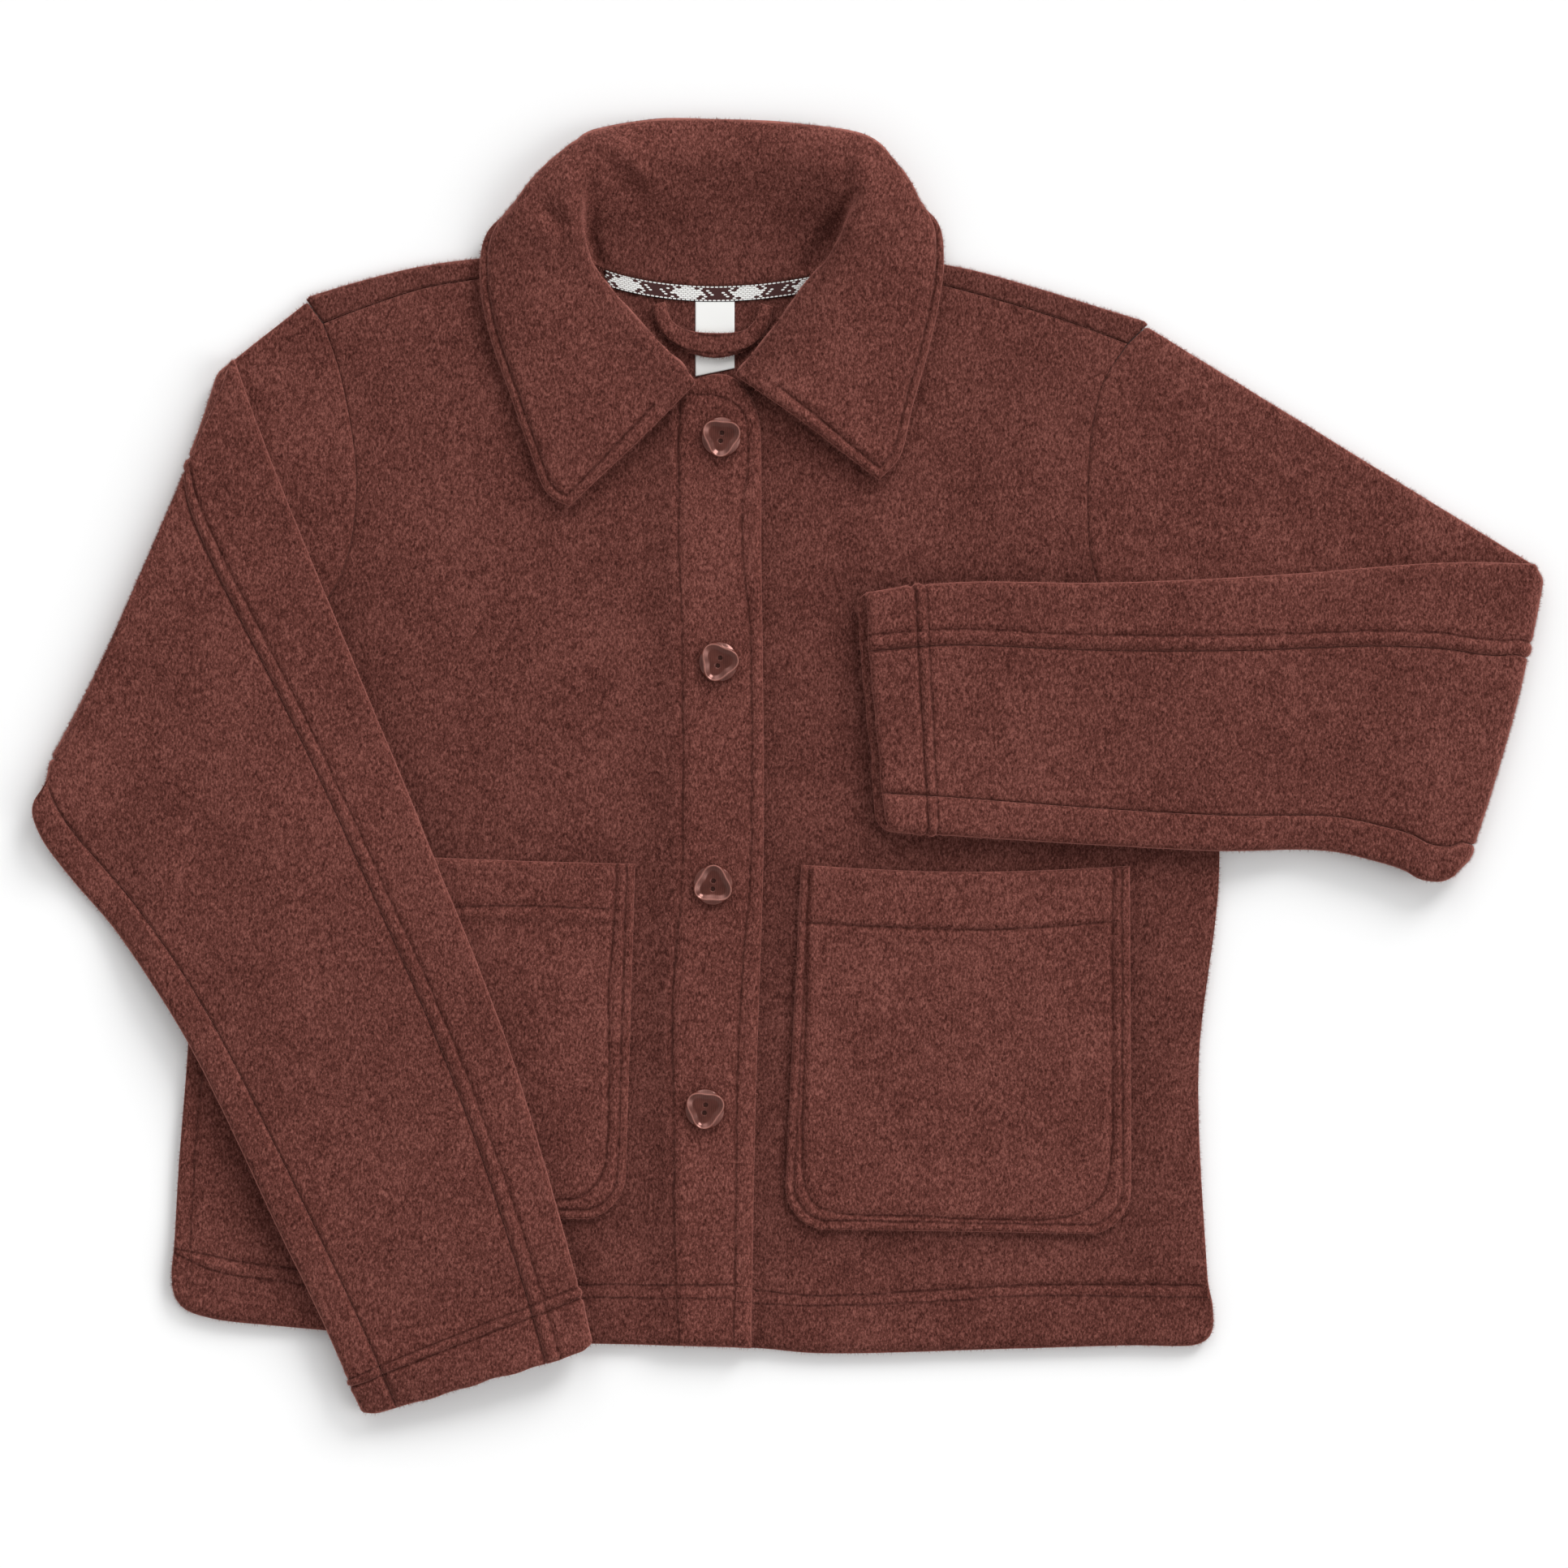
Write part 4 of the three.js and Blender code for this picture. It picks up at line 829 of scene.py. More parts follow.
@dataclass
class Pockets:
    """The two patch pockets, each a straight-topped patch with round lower corners on its front."""

    body: Body
    corners: dict[Side, dict[str, tuple[float, float]]] = per_side(
        {"top in": (-83.8, -50.5), "top out": (-267, -43), "low in": (-89.5, -242.5),
         "low out": (-264, -241)},
        {"top in": (6, -51), "top out": (183.7, -51.5), "low in": (-3.7, -248),
         "low out": (184.6, -250.5)})
    radius: float = 25.0
    hem: float = 31.0
    sag: dict[Side, float] = per_side(1.0, 3.5)
    puff: float = 0.8
    rim: float = 4.6
    rim_depth: float = 0.9
    border: dict[Side, Points] = per_side(
        ((-93.5, -47.7), (-95.3, -79), (-98, -120), (-98.3, -185), (-100.3, -213),
         (-105, -224), (-114, -230.6), (-128, -232.6), (-180, -233.4), (-262, -233.4)),
        ((10.4, -51.7), (9.1, -83), (8.2, -140), (6.4, -200), (8.2, -224), (13.9, -235),
         (24.9, -239.3), (62.3, -241), (121.7, -243), (143.7, -242.4), (160.5, -237.6),
         (169.6, -228), (173, -214), (174.4, -159.5), (174, -100.5), (174.6, -53.5)))
    hem_line: dict[Side, Points] = per_side(
        ((-265, -78), (-178, -73.7), (-132.7, -73.7), (-95.3, -75.5)),
        ((7, -82), (61.8, -85.2), (116.8, -86), (174, -82)))

    def surface(self, side: Side) -> Surface:
        """One pocket on its front's own points, a cloth and a gap higher.

        Below the corner radius r the sides draw in by r - sqrt(r^2 - (r - rise)^2).

        Args:
            side: Which pocket.

        Returns:
            Its surface, with its hem raised and its stitching sunk.
        """
        at = self.corners[side]
        low = [np.asarray(at[key], float) for key in ("low out", "low in")]
        high = [np.asarray(at[key], float) for key in ("top out", "top in")]
        if side is Side.LEFT:
            low, high = low[::-1], high[::-1]
        height = high[0][1] - low[0][1]
        u = graded(high[1][0] - high[0][0], (7, high[1][0] - high[0][0] - 7), coarse=2.2)[None, :]
        v = graded(height, (6, height - self.hem), coarse=2.6)[:, None]
        rise = np.minimum(self.radius, v * height + 0.6)
        inset = self.radius - np.sqrt(self.radius**2 - (self.radius - rise) ** 2)
        left = low[0][0] + (high[0][0] - low[0][0]) * v + inset
        right = low[1][0] + (high[1][0] - low[1][0]) * v - inset
        x = left + (right - left) * u
        bottom = low[0][1] + (low[1][1] - low[0][1]) * u
        top = high[0][1] + (high[1][1] - high[0][1]) * u - self.sag[side] * np.sin(np.pi * u)
        y = bottom + (top - bottom) * v
        plan = np.stack([x, y], -1)
        lift = self.puff * np.sin(np.pi * u) * np.sin(np.pi * v)
        z = self.body.front_height(side, plan) + CLOTH + 1.5 * SEAM_GAP + lift
        border = line_distance(plan, Path(self.border[side]).dense[::5])
        hem = line_distance(plan, Path(self.hem_line[side]).dense[::8])
        from_mouth = top - y
        relief = 0.25 * ripple(plan, 60, 4.0) + self.body.relief(plan) * 0.6
        relief = relief + self.body.outline.turn_up * smooth((self.hem + 1 - from_mouth) / 2.5 + 0.5)
        relief = relief + pinch(border, 1.1, 0.45) + pinch(hem)
        outline = np.concatenate([plan[::-1, 0], plan[0], plan[:, -1]])
        from_side = np.abs(line_distance(plan, outline[::3]))
        rim = from_side - self.rim
        relief = relief - self.rim_depth * bell(rim / 1.1)
        relief = relief + 0.35 * bell(from_mouth / 3.5)
        mid = np.stack([x, y, z], -1)
        # Painted light makes the pocket a little lighter; painted shade darkens it beside the forearms.
        return Surface(mid, relief=relief, stitches=[border, hem, rim], round_over=2.4,
                       tone=0.04 + self.body.shade(plan))

    def build(self, finish: "WoolFleece") -> list[Piece]:
        """Makes and dresses both pockets.

        Args:
            finish: The wool.

        Returns:
            The pieces.
        """
        pieces = []
        for side in Side:
            node = f"pocket_{side.name.lower()}"
            pieces += dress(self.surface(side).build(node + "_cloth"), finish,
                            (node,))
        return pieces


# The sleeves


@dataclass
class Sleeve:
    """One two-piece sleeve: the upper arm, half a turn over the elbow's fold, and the forearm.

    A place in the flattened tube is its distance from the top edge and its height in the tube.
    """

    side: Side
    body: Body
    fold_top: tuple[float, float]
    fold_under: tuple[float, float]
    fold_bow: float
    top_edge: Points
    under_edge: Points
    back_seam: tuple[float, float, float]
    under_seam: tuple[float, float, float]
    cuff_slip: float
    creases: tuple[Crease, ...]
    upper_length: float = 110.0
    under_width: float = 125.0
    back_width: float = 60.0
    strip: float = 8.0
    strip_rise: float = 0.75
    gap: float = 1.2
    mouth: float = 2.2
    cuff: float = 34.5
    cuff_step: float = 6.6
    cuff_round: float = 2.2
    clearance: float = 0.4
    droop_start: float = 14.0
    droop: float = 38.0
    pocket_box: tuple[float, float, float, float] = (-264, -83.8, -241, -43)
    pocket_ease: tuple[float, float] = (62.0, 56.0)

    def __post_init__(self) -> None:
        """Works out the paths that every panel uses."""
        self.out = float(self.side.value)
        self.top_path = Path(self.top_edge)
        self.under_path = Path(self.under_edge)
        self.height = 2 * CLOTH + self.gap
        self.base = self.height + 1.2
        self.top = np.asarray(self.fold_top, float)
        self.under = np.asarray(self.fold_under, float)
        outline = self.body.outline
        arm = Path(outline.armholes[self.side])
        share = np.linspace(0, 1, 181)
        tip = np.asarray(outline.tips[self.side], float)
        line = np.concatenate([arm.even(share), [tip]])
        way = unit(np.gradient(line, axis=0))
        away = np.stack([way[:, 1], -way[:, 0]], -1) * self.out
        stops = [0, 8, len(line) - 12, len(line) - 1]
        room = np.interp(np.arange(len(line)), stops, [1.0, 0.02, 0.02, 0.5])
        self.armhole = (line + away * room[:, None])[::-1]
        self.armhole_share = np.concatenate([[0.0], 0.1 + 0.9 * np.linspace(0, 1, 181)])

    def fold(self, w: Array) -> Array:
        """The elbow's fold line: straight between its ends, with a bow of 4 w (1 - w).

        Args:
            w: Shares across the sleeve.

        Returns:
            Points in plan.
        """
        point = self.top + (self.under - self.top) * w[..., None]
        point[..., 0] -= self.fold_bow * self.out * 4 * w * (1 - w)
        return point

    def seam(self, w: Array) -> Array:
        """The armhole's edge at shares across the sleeve, from the shoulder's tip to the underarm."""
        return np.stack([np.interp(w, self.armhole_share, axis) for axis in self.armhole.T], -1)

    def rest_height(self, x: Array, y: Array) -> Array:
        """Height under the forearm: on the body and the upper arm, drooping softly past their edges.

        Args:
            x: Places along X.
            y: Places along Y.

        Returns:
            Heights in millimetres.
        """
        outline = self.body.outline
        side_x = Path(outline.sides[self.side]).at_y(y)

        def held(inside: Array) -> Array:
            """1 well inside an edge, easing to 0 past it."""
            return smooth((inside + self.droop_start) / self.droop + 1)

        on_body = held((side_x - x) * self.out) * held(y - outline.hem_y(x))
        start = np.asarray(outline.armholes[self.side][0], float)
        reach = self.under - start
        above = (reach[0] * (y - start[1]) - reach[1] * (x - start[0])) / np.hypot(*reach)
        support = 1 - (1 - on_body) * (1 - held(above * self.out))
        lift = 0.0
        if self.side is Side.RIGHT:
            left, right, low, high = self.pocket_box
            start_ease, ease = self.pocket_ease
            inside = (x - left, right - x, y - low, high - y)
            share = np.prod([smooth((reach + start_ease) / ease) for reach in inside], axis=0)
            lift = (CLOTH + 0.8 + 2 * SEAM_GAP) * share
        relief = (outline.turn_up + outline.puff_at(x, y) + lift) * on_body
        return self.clearance + (self.base - self.clearance) * support + relief

    def stations(self) -> tuple[Array, Array]:
        """How far along the sleeve each row lies, and its zone: 0 upper arm, 1 fold, 2 forearm.

        Returns:
            The shares along each zone, and the zones.
        """
        upper = graded(self.upper_length, coarse=3.4)
        turn = np.linspace(0, 1, 17)[1:]
        length = self.top_path.length
        fore = graded(length, (length - self.cuff, length - self.cuff + self.cuff_step), coarse=3.0)[1:]
        return (np.concatenate([upper, turn, fore]),
                np.repeat([0, 1, 2], [len(upper), len(turn), len(fore)]))

    def shares(self, seam: tuple[float, float, float]) -> Array:
        """A seam's share across at every station: from armhole to elbow to cuff.

        Args:
            seam: The seam's share at the armhole, at the elbow and at the cuff.

        Returns:
            A share for each station.
        """
        t, zone = self.stations()
        return np.where(zone == 0, seam[0] + (seam[1] - seam[0]) * t,
                        np.where(zone == 1, seam[1], seam[1] + (seam[2] - seam[1]) * t))

    def widths(self) -> Array:
        """The flattened sleeve's width at every station.

        Returns:
            Widths in millimetres.
        """
        t, zone = self.stations()
        arm = np.linalg.norm(self.armhole[0] - self.armhole[-1])
        bend = np.linalg.norm(self.top - self.under)
        fore = np.linalg.norm(self.top_path.even(t) - self.under_path.even(t), axis=-1)
        return np.where(zone == 0, arm + (bend - arm) * t, np.where(zone == 1, bend, fore))

    def place(self, distance: Array, height: Array) -> Array:
        """Where the tube's points lie, row by row.

        Upper arm: between the armhole and the fold line. Fold: half a turn about the fold line, at the
        middle height between the two arms. Forearm: between its two edges, turned over onto the front.

        Args:
            distance: Distances from the top edge, a row for each station.
            height: Heights in the tube.

        Returns:
            The points.
        """
        t, zone = self.stations()
        width = self.widths()[:, None]
        w = np.clip(distance / width, 0, 1)
        points = np.zeros(distance.shape + (3,))
        a, b, c = (zone == k for k in range(3))
        points[a, :, :2] = self.seam(w[a]) * (1 - t[a, None, None]) + self.fold(w[a]) * t[a, None, None]
        points[a, :, 2] = height[a]
        middle = (self.height + self.base) / 2
        along = unit(self.under - self.top)
        beyond = np.array([along[1], -along[0]])
        beyond = beyond if beyond[0] * self.out > 0 else -beyond
        radius = middle - height[b]
        angle = np.pi * t[b, None]
        rounded = smooth(w[b] / 0.05) * smooth((1 - w[b]) / 0.08)
        points[b, :, :2] = self.fold(w[b]) + beyond * (radius * np.sin(angle) * rounded)[..., None]
        points[b, :, 2] = middle - radius * np.cos(angle)
        s = t[c]
        top, under = self.top_path.even(s), self.under_path.even(s)
        way = unit(self.top_path.heading(s) + self.under_path.heading(s))
        opened = smooth((s - 0.75) / 0.25)[:, None]
        shell = 2 * CLOTH + self.gap + (self.mouth - self.gap) * opened
        plan = top[:, None] * (1 - w[c, :, None]) + under[:, None] * w[c, :, None]
        plan = plan + way[:, None] * (self.cuff_slip * opened * (height[c] / shell - 0.5))[..., None]
        corners = self.cuff_round * (bell(w[c] / 0.03) + bell((1 - w[c]) / 0.03))
        wavy = (0.9 * ripple(plan, 26, 3.3 + self.out) - corners) * smooth((s - 0.93) / 0.07)[:, None]
        plan = plan + way[:, None] * wavy[..., None]
        points[c, :, :2] = plan
        cuff_at = 1 - self.cuff / self.top_path.length
        lift = self.body.outline.turn_up * smooth((s - cuff_at) / 0.03 + 1)[:, None]
        points[c, :, 2] = self.rest_height(plan[..., 0], plan[..., 1]) + lift + shell - height[c]
        return points

    def tube(self) -> dict[str, Array]:
        """The flattened tube's radius and its two walls' heights at every station.

        Returns:
            Each measure by its name, a row for each station.
        """
        t, zone = self.stations()
        gap = self.gap + (self.mouth - self.gap) * np.where(zone == 2, smooth((t - 0.75) / 0.25), 0.0)
        radius = ((CLOTH + gap) / 2)[:, None]
        centre = CLOTH / 2 + radius
        width = self.widths()[:, None]
        return {"radius": radius, "centre": centre, "width": width,
                "low": centre - radius, "high": centre + radius,
                "back": self.shares(self.back_seam)[:, None] * width,
                "under": self.shares(self.under_seam)[:, None] * width}

    def top_panel(self) -> Surface:
        """The top sleeve: from the back seam over the top edge, across, and round the under edge.

        Returns:
            Its surface.
        """
        tube = self.tube()
        radius, centre, width = tube["radius"], tube["centre"], tube["width"]
        near = graded(self.back_width, (self.strip,), coarse=2.8)[None, :]
        first = tube["back"] + (centre - tube["back"]) * near
        turn = np.linspace(-np.pi / 2, np.pi / 2, 9)[1:][None, :]
        rim = centre - radius * np.cos(turn)
        rim_height = centre + radius * np.sin(turn)
        across = np.linspace(0, 1, 46)[1:][None, :]
        front = centre + (width - 2 * centre) * across
        back_turn = np.linspace(np.pi / 2, -np.pi / 2, 9)[1:][None, :]
        far_rim = width - centre + radius * np.cos(back_turn)
        far_height = centre + radius * np.sin(back_turn)
        last_run = graded(12, coarse=1.6)[1:][None, :]
        last = (width - centre) + (tube["under"] - (width - centre)) * last_run
        distance = np.concatenate([first, rim, front, far_rim, last], 1)
        height = np.concatenate([np.broadcast_to(tube["low"], first.shape), rim_height,
                                 np.broadcast_to(tube["high"], front.shape), far_height,
                                 np.broadcast_to(tube["low"], last.shape)], 1)
        columns = np.arange(distance.shape[1])[None, :]
        on_back = np.broadcast_to(columns < near.shape[1], distance.shape)
        return self.panel(distance, height, on_back, -1.0)

    def under_panel(self) -> Surface:
        """The under sleeve: the back's strip between the two seams.

        Returns:
            Its surface.
        """
        tube = self.tube()
        start, end = tube["back"] + SEAM_GAP, tube["under"] - SEAM_GAP
        distance = start + (end - start) * graded(self.under_width, coarse=2.8)[None, :]
        height = np.broadcast_to(tube["low"], distance.shape)
        return self.panel(distance, height, np.ones(distance.shape, bool), 1.0)

    def panel(self, distance: Array, height: Array, on_back: Array, way: float) -> Surface:
        """A panel's surface with its creases, its raised strip, its cuff and its stitching.

        Args:
            distance: Distances from the top edge.
            height: Heights in the tube.
            on_back: Which points are on the strip of the top sleeve beside the back seam.
            way: -1 for the top sleeve, whose strip lies towards the top edge.

        Returns:
            The surface.
        """
        t, zone = self.stations()
        points = self.place(distance, height)
        tube = self.tube()
        fore = (zone == 2)[:, None]
        length = self.top_path.length
        to_cuff = np.where(fore, (1 - t[:, None]) * length, FAR)
        cuff_lines = [np.broadcast_to(to_cuff - reach, distance.shape) for reach in
                      (self.cuff, self.cuff - self.cuff_step)]
        beside = tube["back"] - distance
        strip_line = np.where(on_back & (way < 0), beside - self.strip, FAR)
        relief = 0.22 * ripple(points, 70, 5.0 + self.out) + 0.12 * ripple(points, 30, 1.4)
        facing = np.where(height < tube["centre"], 1.0, 0.0)
        relief = relief + facing * fore * lifted(points, self.creases)
        if way < 0:
            rise = self.strip_rise * smooth((self.strip - beside) / 2.0 + 0.5)
            relief = relief + facing * rise * (beside < 30)
        turned = smooth((self.cuff + 1 - to_cuff) / 2.5 + 0.5) * fore
        relief = relief + self.body.outline.turn_up * turned
        lines = [strip_line, *cuff_lines]
        for line in lines:
            relief = relief + pinch(line, 1.0, 0.35)
        # Painted light makes the sleeve a little lighter, as a raised layer.
        return Surface(points, side=-way * self.out, relief=relief, stitches=lines, round_over=2.4,
                       tone=0.01)

    def build(self, finish: "WoolFleece") -> list[Piece]:
        """Makes and dresses the top and the under sleeve.

        Args:
            finish: The wool.

        Returns:
            The pieces.
        """
        name = f"sleeve_{self.side.name.lower()}"
        return [
            *dress(self.top_panel().build(f"{name}_top_cloth"), finish,
                   (f"{name}_top",)),
            *dress(self.under_panel().build(f"{name}_under_cloth"), finish,
                   (f"{name}_under",)),
        ]


def right_sleeve(body: Body) -> Sleeve:
    """The right sleeve, its forearm reaching down over the right pocket to below the hem.

    Args:
        body: What it is sewn to and lies on.

    Returns:
        The sleeve.
    """
    return Sleeve(
        side=Side.RIGHT, body=body, fold_top=(-300.5, 222), fold_under=(-402, -11), fold_bow=8,
        top_edge=((-300.5, 222), (-289, 189), (-260, 116.4), (-203, -20.5), (-151, -152), (-119.5, -259),
                  (-106.5, -312)),
        under_edge=((-402, -11), (-408, -22), (-404, -35.5), (-395.3, -49.5), (-385.5, -62),
                    (-361, -90.5), (-325, -146), (-276, -246.5), (-245, -313), (-229, -349.8)),
        back_seam=(0.29, 0.27, 0.205), under_seam=(0.93, 0.935, 0.862), cuff_slip=0,
        creases=(
            Crease(((-330, 150), (-318, 80), (-326, 20)), 17, 0.9),
            Crease(((-352, 60), (-340, 0), (-345, -40)), 12, -0.7),
            Crease(((-296, 190), (-300, 130), (-280, 70)), 14, 0.7),
            Crease(((-385, -20), (-340, -50), (-300, -100)), 14, 0.8),
            Crease(((-300, -60), (-262, -130), (-240, -190)), 18, -0.5),
            Crease(((-220, -150), (-190, -220), (-180, -280)), 16, 0.5),
        ),
    )


def left_sleeve(body: Body) -> Sleeve:
    """The left sleeve, its forearm lying straight across the chest.

    Args:
        body: What it is sewn to and lies on.

    Returns:
        The sleeve.
    """
    return Sleeve(
        side=Side.LEFT, body=body, fold_top=(402, 111.5), fold_under=(357, -57), fold_bow=-4,
        top_edge=((402, 111.5), (360, 112.4), (247, 104.5), (168.7, 101.4), (85, 101.4), (37.8, 95)),
        under_edge=((357, -57), (351.8, -59.5), (341, -58.6), (332, -53.5), (318, -49), (289, -43),
                    (230, -43), (120, -37), (49, -32)),
        back_seam=(0.29, 0.29, 0.24), under_seam=(0.915, 0.892, 0.845), cuff_slip=7,
        creases=(
            Crease(((370, 60), (340, 20), (335, -30)), 15, 0.9),
            Crease(((385, 80), (372, 20), (350, -20)), 9, -0.7),
            Crease(((300, 40), (240, 20), (180, 30)), 20, 0.6),
            Crease(((160, 30), (110, 0), (70, 10)), 18, -0.4),
        ),
    )


# The neck


@dataclass
class Collar:
    """The turn-down collar: sections from the right front end round the neck to the left front end.

    A section runs from where it is sewn on, up its stand, over its roll and down its fall to its edge.
    """

    rows: Sequence[Points] = (
        ((-57, 204, 8.8), (-51.5, 208.5, 12.6), (-80.5, 179, 15), (-119.5, 142.6, 9.9)),
        ((-64, 208.2, 7.6), (-59, 218, 12.4), (-92, 186, 15), (-131.2, 149.8, 9.7)),
        ((-79, 220, 5.8), (-72.5, 231, 11.8), (-105, 205, 14.6), (-140.6, 173, 9.7)),
        ((-97, 240, 5.8), (-88, 247.5, 11.8), (-120, 228, 14.6), (-152, 205, 9.7)),
        ((-112, 260, 5.8), (-101, 263.5, 13), (-134, 250, 15.4), (-162.5, 236, 9.7)),
        ((-120, 273, 6.4), (-109, 278, 16), (-142, 270, 16.4), (-167.5, 263, 9.8)),
        ((-114, 276, 5), (-113, 291, 20), (-146, 290, 17.5), (-165, 287, 6.2)),
        ((-106, 273.2, 3.6), (-115, 305, 22.5), (-143, 309, 17), (-153, 299, 3.2)),
        ((-96, 269.6, 2.8), (-110, 320, 22), (-130, 326, 15.5), (-136, 311, 2.6)),
        ((-84, 266.4, 2.6), (-95, 331, 18.5), (-107, 342.5, 11.5), (-108, 320, 2.5)),
        ((-67, 263.6, 2.6), (-72, 334, 14.5), (-76, 350.2, 8.5), (-76, 325, 2.5)),
        ((-44, 262, 2.6), (-42, 333, 13), (-42, 351, 8), (-42, 327, 2.5)),
        ((-20, 262.9, 2.6), (-14, 332, 14), (-12, 349.2, 8.5), (-12, 325, 2.5)),
        ((2, 265.6, 2.6), (13, 329, 17.5), (18, 346.6, 11), (17, 322, 2.5)),
        ((17, 268.6, 2.8), (33, 320, 20.5), (46, 338, 14.5), (43, 315, 2.6)),
        ((27, 271.6, 3.6), (36, 306, 21.5), (62, 318, 16.5), (66, 305, 3.2)),
        ((34, 274.4, 5), (32.5, 292.5, 19.5), (65, 299, 17), (80, 294, 6)),
        ((40, 272.6, 6.4), (24.5, 280, 16), (58, 281, 16.2), (83, 274, 9)),
        ((25, 258.4, 5.8), (11.5, 265, 13), (48, 259, 15), (80, 250, 9.8)),
        ((9.5, 239, 5.8), (-2, 246, 12), (35, 235, 14.6), (74, 224, 9.7)),
        ((-4, 222, 5.8), (-15.5, 228.5, 12), (21, 213, 14.6), (66, 196, 9.7)),
        ((-13, 212.6, 5.8), (-24.5, 218, 12.6), (10.5, 197.6, 14.6), (59, 169, 9.7)),
        ((-20, 208, 6.4), (-29, 213, 13), (5.5, 189, 14.6), (48, 156.8, 9.9)),
    )
    wall: float = 4.4
    section: float = 115.0
    round: float = 620.0
    stand_lean: float = 0.12
    topstitch: float = 4.8
    end_topstitch: tuple[float, float] = (9.5, 5.0)
    creases: tuple[Crease, ...] = (
        Crease(((-136, 305.5), (-127, 298), (-118, 289.5)), 4.2, -2.8, 8),
        Crease(((-141, 298), (-133, 290), (-126, 280)), 7, 1.2, 10),
        Crease(((-109.5, 322), (-108.5, 303), (-107.5, 285), (-103, 270)), 4.2, -3.2, 8),
        Crease(((-117.5, 324), (-119, 302), (-114.5, 280)), 5, 1.7, 9),
        Crease(((-114.6, 338.6), (-94, 335.5), (-73.3, 316.6)), 5.5, 2.2, 14),
        Crease(((-104, 323), (-89.5, 318.8), (-76.3, 303.4)), 6, -1.8, 14),
        Crease(((30.6, 335), (29.3, 323.2), (27.9, 311)), 4.8, -2.6, 9),
        Crease(((35.5, 334), (36.5, 318.8)), 5, 1.4, 9),
        Crease(((36, 318), (34, 308), (26, 296), (17, 284), (6, 268)), 4.2, -3.0, 9),
        Crease(((43.5, 320), (41.5, 309), (33.5, 297), (24, 285)), 4.8, 1.6, 9),
        Crease(((-150, 262), (-146, 225), (-130, 190)), 12, 1.0, 14),
        Crease(((70, 255), (58, 215), (48, 180)), 12, 0.9, 14),
        Crease(((-60, 343), (-40, 340), (-20, 341)), 7, -0.9, 12),
    )

    def surface(self) -> Surface:
        """The whole collar: a smooth section through each row, and a smooth run through the sections.

        Returns:
            Its surface.
        """
        table = np.asarray(self.rows, float)
        neck, roll, fall, edge = (table[:, k] for k in range(4))
        stand = (neck + roll) / 2
        stand[:, 2] = neck[:, 2] + self.stand_lean * (roll[:, 2] - neck[:, 2])
        lip = fall + 0.55 * (edge - fall)
        lip[:, 2] = fall[:, 2] + 0.45 * (edge[:, 2] - fall[:, 2])
        across = graded(self.section, (self.section - 7,), coarse=2.2)
        rows = np.stack([neck, stand, roll, fall, lip, edge], 1)
        stack = np.stack([Path(section).even(across) for section in rows])
        along = graded(self.round, (5, 9, self.round - 9, self.round - 5), coarse=2.6)
        mid = Path(stack.reshape(len(stack), -1), 1500).even(along).reshape(len(along), len(across), 3)
        sideways = np.linalg.norm(np.diff(mid, axis=1), axis=-1)
        reach = np.concatenate([np.zeros((len(along), 1)), np.cumsum(sideways, axis=1)], 1)
        from_edge = reach[:, -1:] - reach
        forward = np.linalg.norm(np.diff(mid, axis=0), axis=-1)
        run = np.concatenate([np.zeros((1, len(across))), np.cumsum(forward, axis=0)])
        from_ends = np.minimum(run, run[-1:] - run)
        share = reach / reach[:, -1:]
        near, far = self.end_topstitch
        line = np.minimum(from_edge - self.topstitch, from_ends - near - (far - near) * share)
        on_wings = smooth((320 - mid[..., 1]) / 12)
        line = np.where((on_wings > 0.5) & (share > 0.3), line, FAR)
        relief = 0.3 * ripple(mid, 48, 7.0) + lifted(mid, self.creases)
        relief = relief + pinch(line, 1.1, 0.5) * on_wings * smooth((share - 0.28) / 0.1)
        # Painted shade darkens the stand towards the neck, under the roll, and painted light lifts the
        # rest a little.
        return Surface(mid, side=-1.0, wall=self.wall, relief=relief, stitches=[line], round_over=2.8,
                       tone=0.02 - 0.13 * smooth((0.42 - share) / 0.2))

    def build(self, finish: "WoolFleece") -> list[Piece]:
        """Makes and dresses the collar, two layers of cloth as one wall."""
        return dress(self.surface().build("collar_cloth"), finish,
                     ("collar",))


